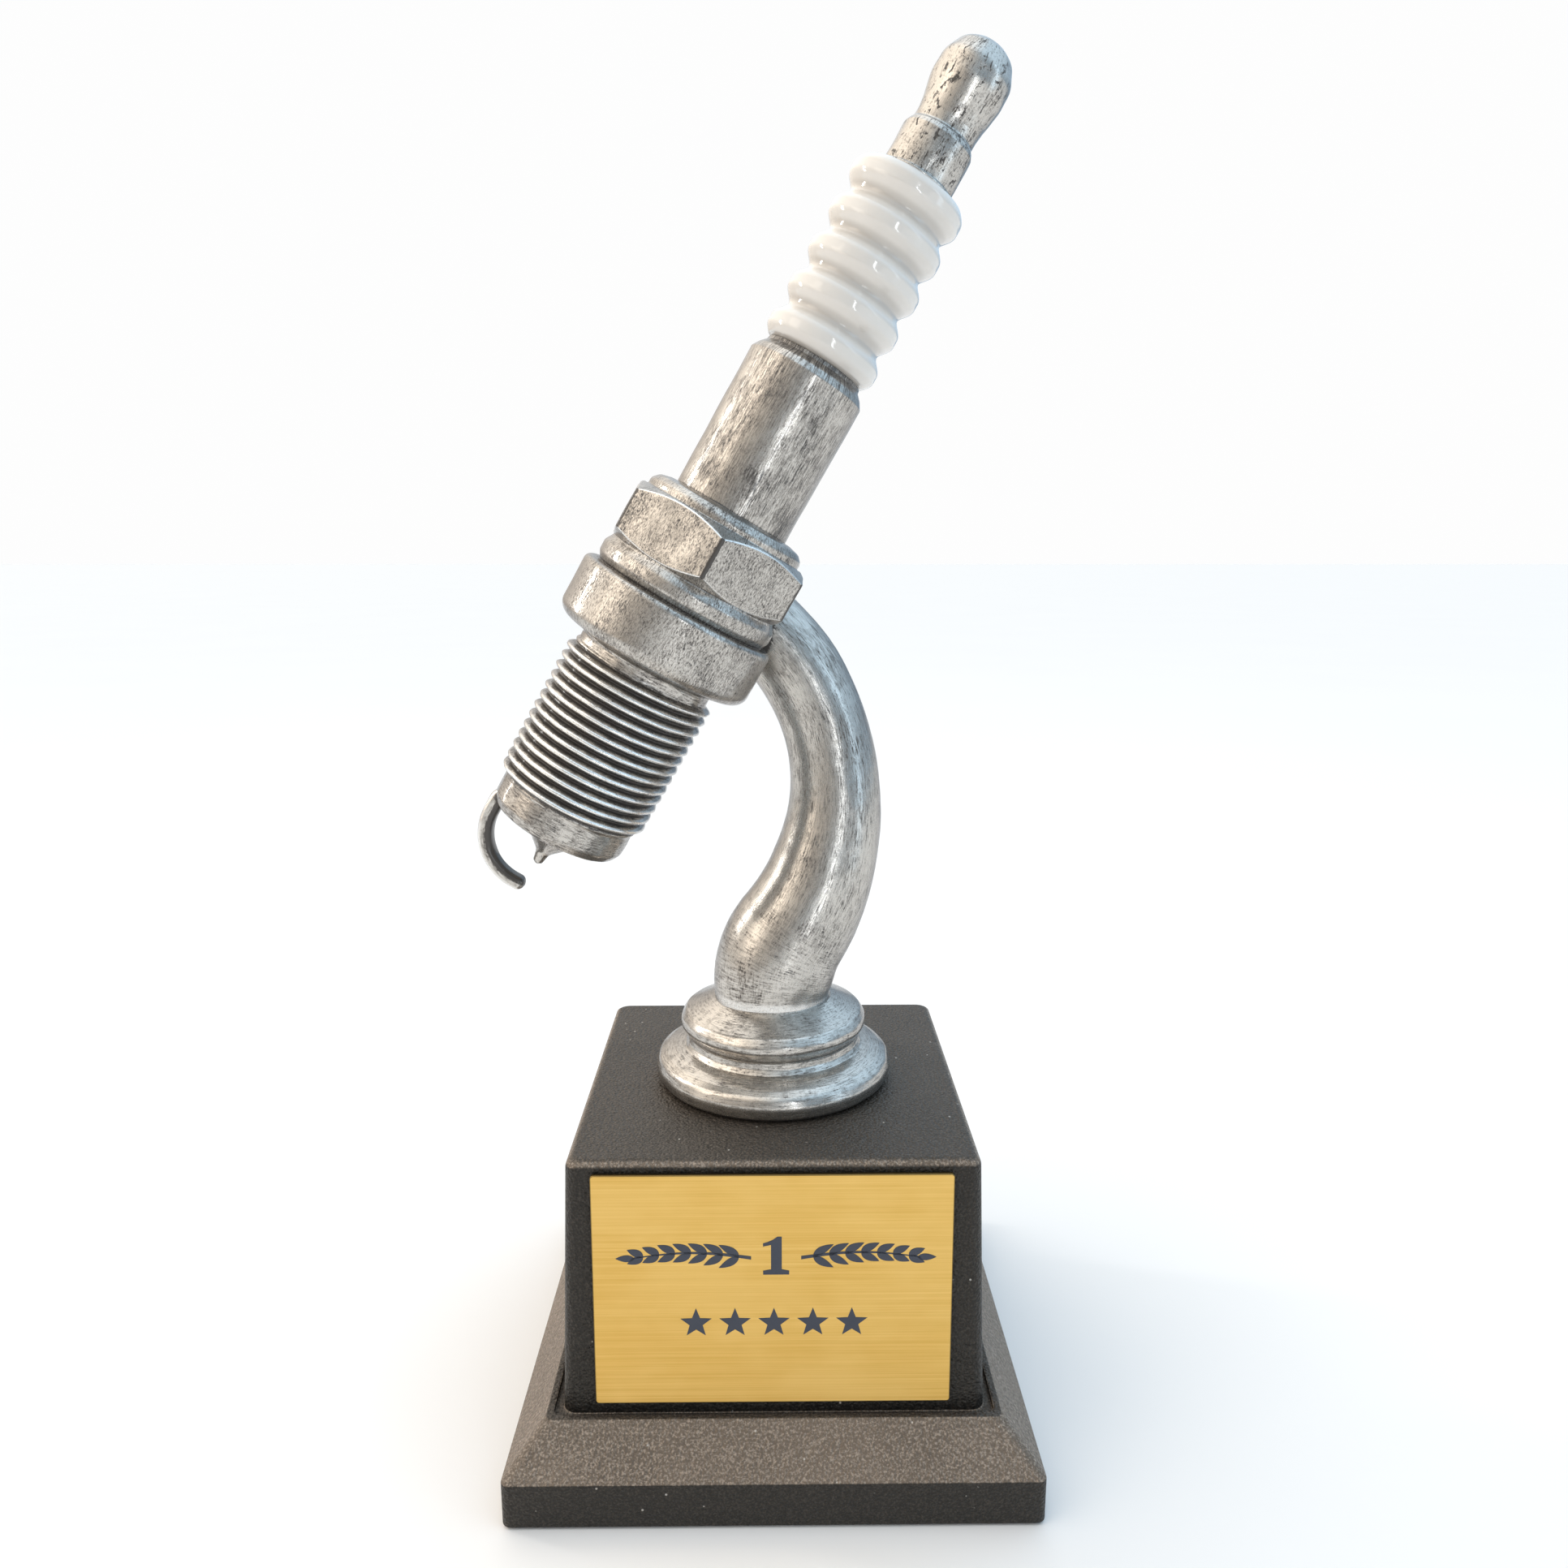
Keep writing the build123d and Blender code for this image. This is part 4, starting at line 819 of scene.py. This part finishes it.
SKIRT_SIDE, COVER_TOP, INNER_TOP = 90.6, 4.0, 61.2
BLOCK_PLAN_CORNER, PLINTH_PLAN_CORNER, BLOCK_TOP_ROUND, BASE_STEP = 2.2, 1.6, 1.7, 2.4
BASE_CORNERS = [
    (0, BLOCK_TOP), (BLOCK_TOP_SIDE / 2, BLOCK_TOP, BLOCK_TOP_ROUND),
    (BLOCK_FOOT_SIDE / 2, LEDGE_FLOOR, 0.25), (LEDGE_SIDE / 2 - LEDGE_RIM, LEDGE_FLOOR, 0.2),
    (LEDGE_SIDE / 2 - LEDGE_RIM, LEDGE_TOP, 0.3), (LEDGE_SIDE / 2, LEDGE_TOP, 0.45),
    (PLINTH_SIDE / 2, PLINTH_BAND_TOP, 0.6), (PLINTH_SIDE / 2, SHELL_FOOT, 0.35),
    (SKIRT_SIDE / 2, SHELL_FOOT, 0.2), (SKIRT_SIDE / 2, COVER_TOP + 3), (34, COVER_TOP + 8), (33, INNER_TOP),
    (0, INNER_TOP)]
base_run = divided(outline(BASE_CORNERS), BASE_STEP)
off_axis = base_run[:, 0] > 1e-6
# the shell's outer edges, which its look paints with a highlight
base_edge = marks_of(base_run, [outline(BASE_CORNERS)])[1][off_axis]
base_rows = []
for half, level in base_run[off_axis]:
    on_block = level > LEDGE_FLOOR + 0.1 and half < BLOCK_FOOT_SIDE / 2 + 0.05
    corner = BLOCK_PLAN_CORNER if on_block else PLINTH_PLAN_CORNER
    base_rows.append(square_ring(2 * half, 2 * half, corner, level))
shell = skin("base_shell_skin", np.array(base_rows), on_axis(BLOCK_TOP), on_axis(INNER_TOP),
             worn=base_edge[:, None])
settle(shell, "base", "black_base", pebble_black(), "base_shell")

# ---------- plate and its ornament
PLATE_WIDTH, PLATE_HEIGHT, PLATE_THICK, TAPE_THICK = 63.5, 43.7, 0.8, 0.4
PLATE_MIDDLE, PLATE_SHIFT, PLATE_BEVEL, PLATE_CORNER, EDGE_DARK = 40.0, -0.2, 0.14, 0.6, 0.75
draft = (BLOCK_FOOT_SIDE - BLOCK_TOP_SIDE) / 2 / (BLOCK_TOP - LEDGE_FLOOR)
plate_out = np.array([0, -1, draft]) / sqrt(1 + draft ** 2)
plate_up = np.array([0, draft, 1]) / sqrt(1 + draft ** 2)
block_face = BLOCK_FOOT_SIDE / 2 - draft * (PLATE_MIDDLE - LEDGE_FLOOR)
plate_origin = np.array([PLATE_SHIFT, -block_face, PLATE_MIDDLE])


def on_plate(local):
    """Local points: right, up and out of the block's front face."""
    return place(local, plate_origin, RIGHT, plate_up, plate_out)


plate_back, plate_front = TAPE_THICK, TAPE_THICK + PLATE_THICK
plate_steps = [(4.0, plate_back), (0.3, plate_back), (0.02, plate_back), (0, plate_back + 0.03),
               (0, plate_front - PLATE_BEVEL)]  # how far in from the edge, how far out from the block
plate_steps += [(PLATE_BEVEL * (1 - cos(t)), plate_front - PLATE_BEVEL + PLATE_BEVEL * sin(t))
                for t in np.linspace(0.2, pi / 2, 6)]
plate_steps += [(PLATE_BEVEL + 0.06, plate_front), (0.5, plate_front), (4, plate_front), (12, plate_front)]
plate_rows, plate_dark = [], []
for inset, out in plate_steps:
    corner = PLATE_CORNER - inset if inset < 0.3 else 0.4
    plate_rows.append(square_ring(PLATE_WIDTH - 2 * inset, PLATE_HEIGHT - 2 * inset, corner, out))
    plate_dark.append(0.0 if inset > PLATE_BEVEL + 0.01 else EDGE_DARK)
plate = skin("award_plate", on_plate(np.array(plate_rows)), on_plate(on_axis(plate_back)),
             on_plate(on_axis(plate_front)), wash=np.array(plate_dark)[:, None])
settle(plate, "base", "gold_plate", brushed_gold(), "name_plate")

INK_THICK, INK_SUNK = 0.045, 0.02


def prisms(name, shapes):
    """Flat outlines on the plate's front, each raised by the ink's thickness, as one mesh."""
    points, faces = [], []
    for shape in shapes:
        shape = np.array(shape, float)
        if cross2(shape, np.roll(shape, -1, 0)).sum() < 0:
            shape = shape[::-1]
        count, start = len(shape), len(points)
        for level in (plate_front - INK_SUNK, plate_front + INK_THICK):
            points += on_plate(np.column_stack([shape, np.full(count, level)])).tolist()
        faces.append(tuple(start + i for i in reversed(range(count))))
        faces.append(tuple(start + count + i for i in range(count)))
        faces += [(start + i, start + (i + 1) % count, start + count + (i + 1) % count, start + count + i)
                  for i in range(count)]
    mesh = bpy.data.meshes.new(name)
    mesh.from_pydata([[c * MM for c in p] for p in points], [], faces)
    return add_object(name, mesh)


def leaf(root, heading, length, width, curl):
    """A pointed leaf that bends a little to one side."""
    way, side_way = unit(heading), np.array([-sin(heading), cos(heading)])
    shares = np.linspace(0, 1, 11)
    bend = curl * length * shares ** 2
    half = width / 2 * np.sin(pi * shares ** 0.8) ** 0.9
    upper = [root + way * length * t + side_way * (b + h) for t, b, h in zip(shares, bend, half)]
    lower = [root + way * length * t + side_way * (b - h) for t, b, h in zip(shares, bend, half)]
    return np.array(upper + lower[-2:0:-1])


SPRIG_REACH, SPRIG_RISE, SPRIG_DROP, LEAF_PAIRS, STALK_HALF = 21.0, 1.0, 0.4, 7, 0.32
LEAF_LENGTH, LEAF_WIDTH, LEAF_SPREAD, LEAF_CURL = 4.3, 1.45, 40, 0.14


def sprig(middle, facing):
    """A laurel sprig that lies along the line, its tip away from the numeral."""
    def stalk(t):
        return middle + np.array([facing * SPRIG_REACH * t, SPRIG_RISE * sin(pi * t) - SPRIG_DROP])

    shares = np.linspace(0, 1, 25)
    halves = [np.array([0, STALK_HALF * (1 - 0.75 * t)]) for t in shares]
    upper = [stalk(t) + half for t, half in zip(shares, halves)]
    lower = [stalk(t) - half for t, half in zip(shares, halves)]
    shapes = [np.array(upper + lower[::-1])]
    for k in range(LEAF_PAIRS):
        t = 0.10 + 0.80 * k / (LEAF_PAIRS - 1)
        for sign in (1, -1):
            angle = sign * radians(LEAF_SPREAD - 8 * t)
            heading = angle if facing > 0 else pi - angle
            curl = -LEAF_CURL * sign * facing
            shapes.append(leaf(stalk(t), heading, LEAF_LENGTH - 1.3 * t, LEAF_WIDTH, curl))
    tip = middle + np.array([facing * SPRIG_REACH, -SPRIG_DROP])
    shapes.append(leaf(tip - np.array([facing * 0.6, 0]), 0.0 if facing > 0 else pi, 3.4, 1.3, curl=0.0))
    return shapes


STAR_SIZE, STAR_WAIST, STAR_PITCH = 2.9, 0.42, 6.9


def star(middle):
    """A five-pointed star, point up."""
    sizes = (STAR_SIZE, STAR_SIZE * STAR_WAIST)
    return [middle + sizes[k % 2] * unit(pi / 2 + k * pi / 5) for k in range(10)]


UPPER_LINE, LOWER_LINE = 6.7, -6.2
NUMERAL = [(-2.3, -3.6), (2.3, -3.6), (2.3, -2.85), (1.0, -2.6), (1.0, 3.6), (0.2, 3.6), (-0.6, 3.0),
           (-1.5, 2.6), (-2.3, 2.35), (-2.3, 1.75), (-0.9, 2.05), (-0.9, -2.6), (-2.3, -2.85)]
upper_shapes = [np.array(NUMERAL) + (0.6, UPPER_LINE)]
upper_shapes += sprig(np.array([5.0, UPPER_LINE]), 1) + sprig(np.array([-3.8, UPPER_LINE]), -1)
lower_shapes = [star(np.array([0.2 + STAR_PITCH * k, LOWER_LINE])) for k in range(-2, 3)]
ink = plain_detail("navy_ink", (0.022, 0.028, 0.045), (0.045, 0.052, 0.075), 1.8, 0.01, 0.42)
settle(prisms("plate_ornament_upper", upper_shapes), "base", "black_base", ink)
settle(prisms("plate_ornament_lower", lower_shapes), "base", "black_base", ink)

# ---------- CAD pieces that keep their own shape
steel = plain_detail("zinc_steel", (0.42, 0.43, 0.44), (0.66, 0.66, 0.65), 2.2, 0.02, 0.36, metallic=1.0,
                     stretch=(1, 1, 0.3))
brass = plain_detail("turned_brass", (0.52, 0.37, 0.13), (0.78, 0.60, 0.28), 1.6, 0.02, 0.34, metallic=1.0,
                     stretch=(0.3, 0.3, 3))
cement = plain_detail("cast_cement", (0.36, 0.35, 0.33), (0.62, 0.61, 0.58), 0.9, 0.25, 0.88, detail=7.0)
board = plain_detail("black_cover_board", (0.020, 0.020, 0.021), (0.055, 0.054, 0.053), 1.1, 0.03, 0.5)
foam_tape = plain_detail("foam_tape", (0.62, 0.61, 0.57), (0.84, 0.83, 0.80), 3.0, 0.06, 0.85)
KEPT = {
    steel: ("core_rod", "stem_armature", "stem_dowel", "threaded_rod", "flat_washer", "lock_washer",
            "hex_nut", "cover_screws"),
    brass: ("threaded_insert",), cement: ("base_weight",), board: ("bottom_cover",),
    fibre_felt(): ("felt_pad",), foam_tape: ("plate_adhesive",)}
for material, kept_nodes in KEPT.items():
    for node in kept_nodes:
        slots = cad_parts[node].data.materials
        slots.clear()
        slots.append(material)

# ---------- floor, light and camera
floor_look = Look("pale_floor")
floor_cloud = floor_look.noise(floor_look.object_mm(), 0.004, detail=2)
floor_look.set(
    Base_Color=floor_look.mix(floor_cloud, (0.81, 0.79, 0.775), (0.83, 0.81, 0.795)), Roughness=0.85)
FLOOR_HALF = 30.0  # metres
floor_mesh = bpy.data.meshes.new("floor")
floor_corners = [(x * FLOOR_HALF, y * FLOOR_HALF, 0) for x, y in ((-1, -1), (1, -1), (1, 1), (-1, 1))]
floor_mesh.from_pydata(floor_corners, [], [(0, 1, 2, 3)])
floor_mesh.materials.append(floor_look.material)
floor = add_object("floor", floor_mesh)

# soft rectangular lights that face the object: place, width and height, power, colour
AIM = Vector((0.0, 0.0, 0.13))
for name, where, size, power, colour in (
        ("left_softbox", (-0.95, -0.50, 0.62), (0.5, 0.8), 1.45, (1.0, 0.88, 0.75)),
        ("right_softbox", (0.95, -0.50, 0.36), (0.22, 0.7), 0.8, (0.62, 0.82, 1.0)),
        ("top_softbox", (0.0, 0.15, 1.3), (1.0, 1.0), 0.9, (1.0, 0.99, 0.97)),
        ("left_strip", (-0.645, 0.183, 0.431), (0.055, 0.34), 0.9, (1.0, 0.98, 0.95)),
        ("front_strip", (0.31, -0.97, 0.10), (0.06, 0.60), 1.1, (0.92, 0.96, 1.0))):
    light = bpy.data.lights.new(name, "AREA")
    light.shape, (light.size, light.size_y) = "RECTANGLE", size
    light.energy, light.color = power, colour
    lamp = add_object(name, light)
    lamp.location = where
    lamp.rotation_euler = (AIM - Vector(where)).to_track_quat("-Z", "Y").to_euler()

# the sky: paler upwards and away from the camera, warm on the left and cool on the right; seen, it is plain
SKY_STRENGTH, SEEN_SKY, WHITE = 1.94, 0.985, (1.0, 1.0, 1.0)
world = bpy.data.worlds.new("studio")
bpy.context.scene.world = world
world.use_nodes = True
sky = Nodes(world.node_tree)
way = sky.split(sky.add("ShaderNodeTexCoord").outputs["Generated"])
rise = sky.mix(sky.range(way["Z"], -0.05, 0.75), (0.36, 0.36, 0.37), WHITE)
side_tint = sky.mix(sky.range(way["X"], -0.55, 0.50), (1.0, 0.91, 0.80), (0.46, 0.62, 0.77))
towards_camera = sky.mix(sky.range(way["Y"], -0.95, -0.15), (0.50, 0.50, 0.50), WHITE)
sky_colour = sky.mix(1.0, sky.mix(1.0, rise, side_tint, "MULTIPLY"), towards_camera, "MULTIPLY")
lit_sky = sky.fed(sky.add("ShaderNodeBackground"), Color=sky_colour, Strength=SKY_STRENGTH)
seen_sky = sky.fed(sky.add("ShaderNodeBackground"), Color=WHITE, Strength=SEEN_SKY)
is_seen = sky.add("ShaderNodeLightPath").outputs["Is Camera Ray"]
sky_shader = sky.fed(sky.add("ShaderNodeMixShader"), is_seen, lit_sky, seen_sky)
sky.put(sky.add("ShaderNodeOutputWorld").inputs["Surface"], sky_shader)
view_settings = bpy.context.scene.view_settings
view_settings.view_transform = "Standard"
view_settings.look = "None"

camera_data = bpy.data.cameras.new("camera")
camera_data.lens, camera_data.sensor_width = 26.54, 36.0
camera_data.clip_start = 0.01
camera = add_object("camera", camera_data)
camera.location = (-0.0002, -0.2216, 0.1670)
camera.rotation_euler = (radians(78.92), 0, radians(-0.62))
bpy.context.scene.camera = camera
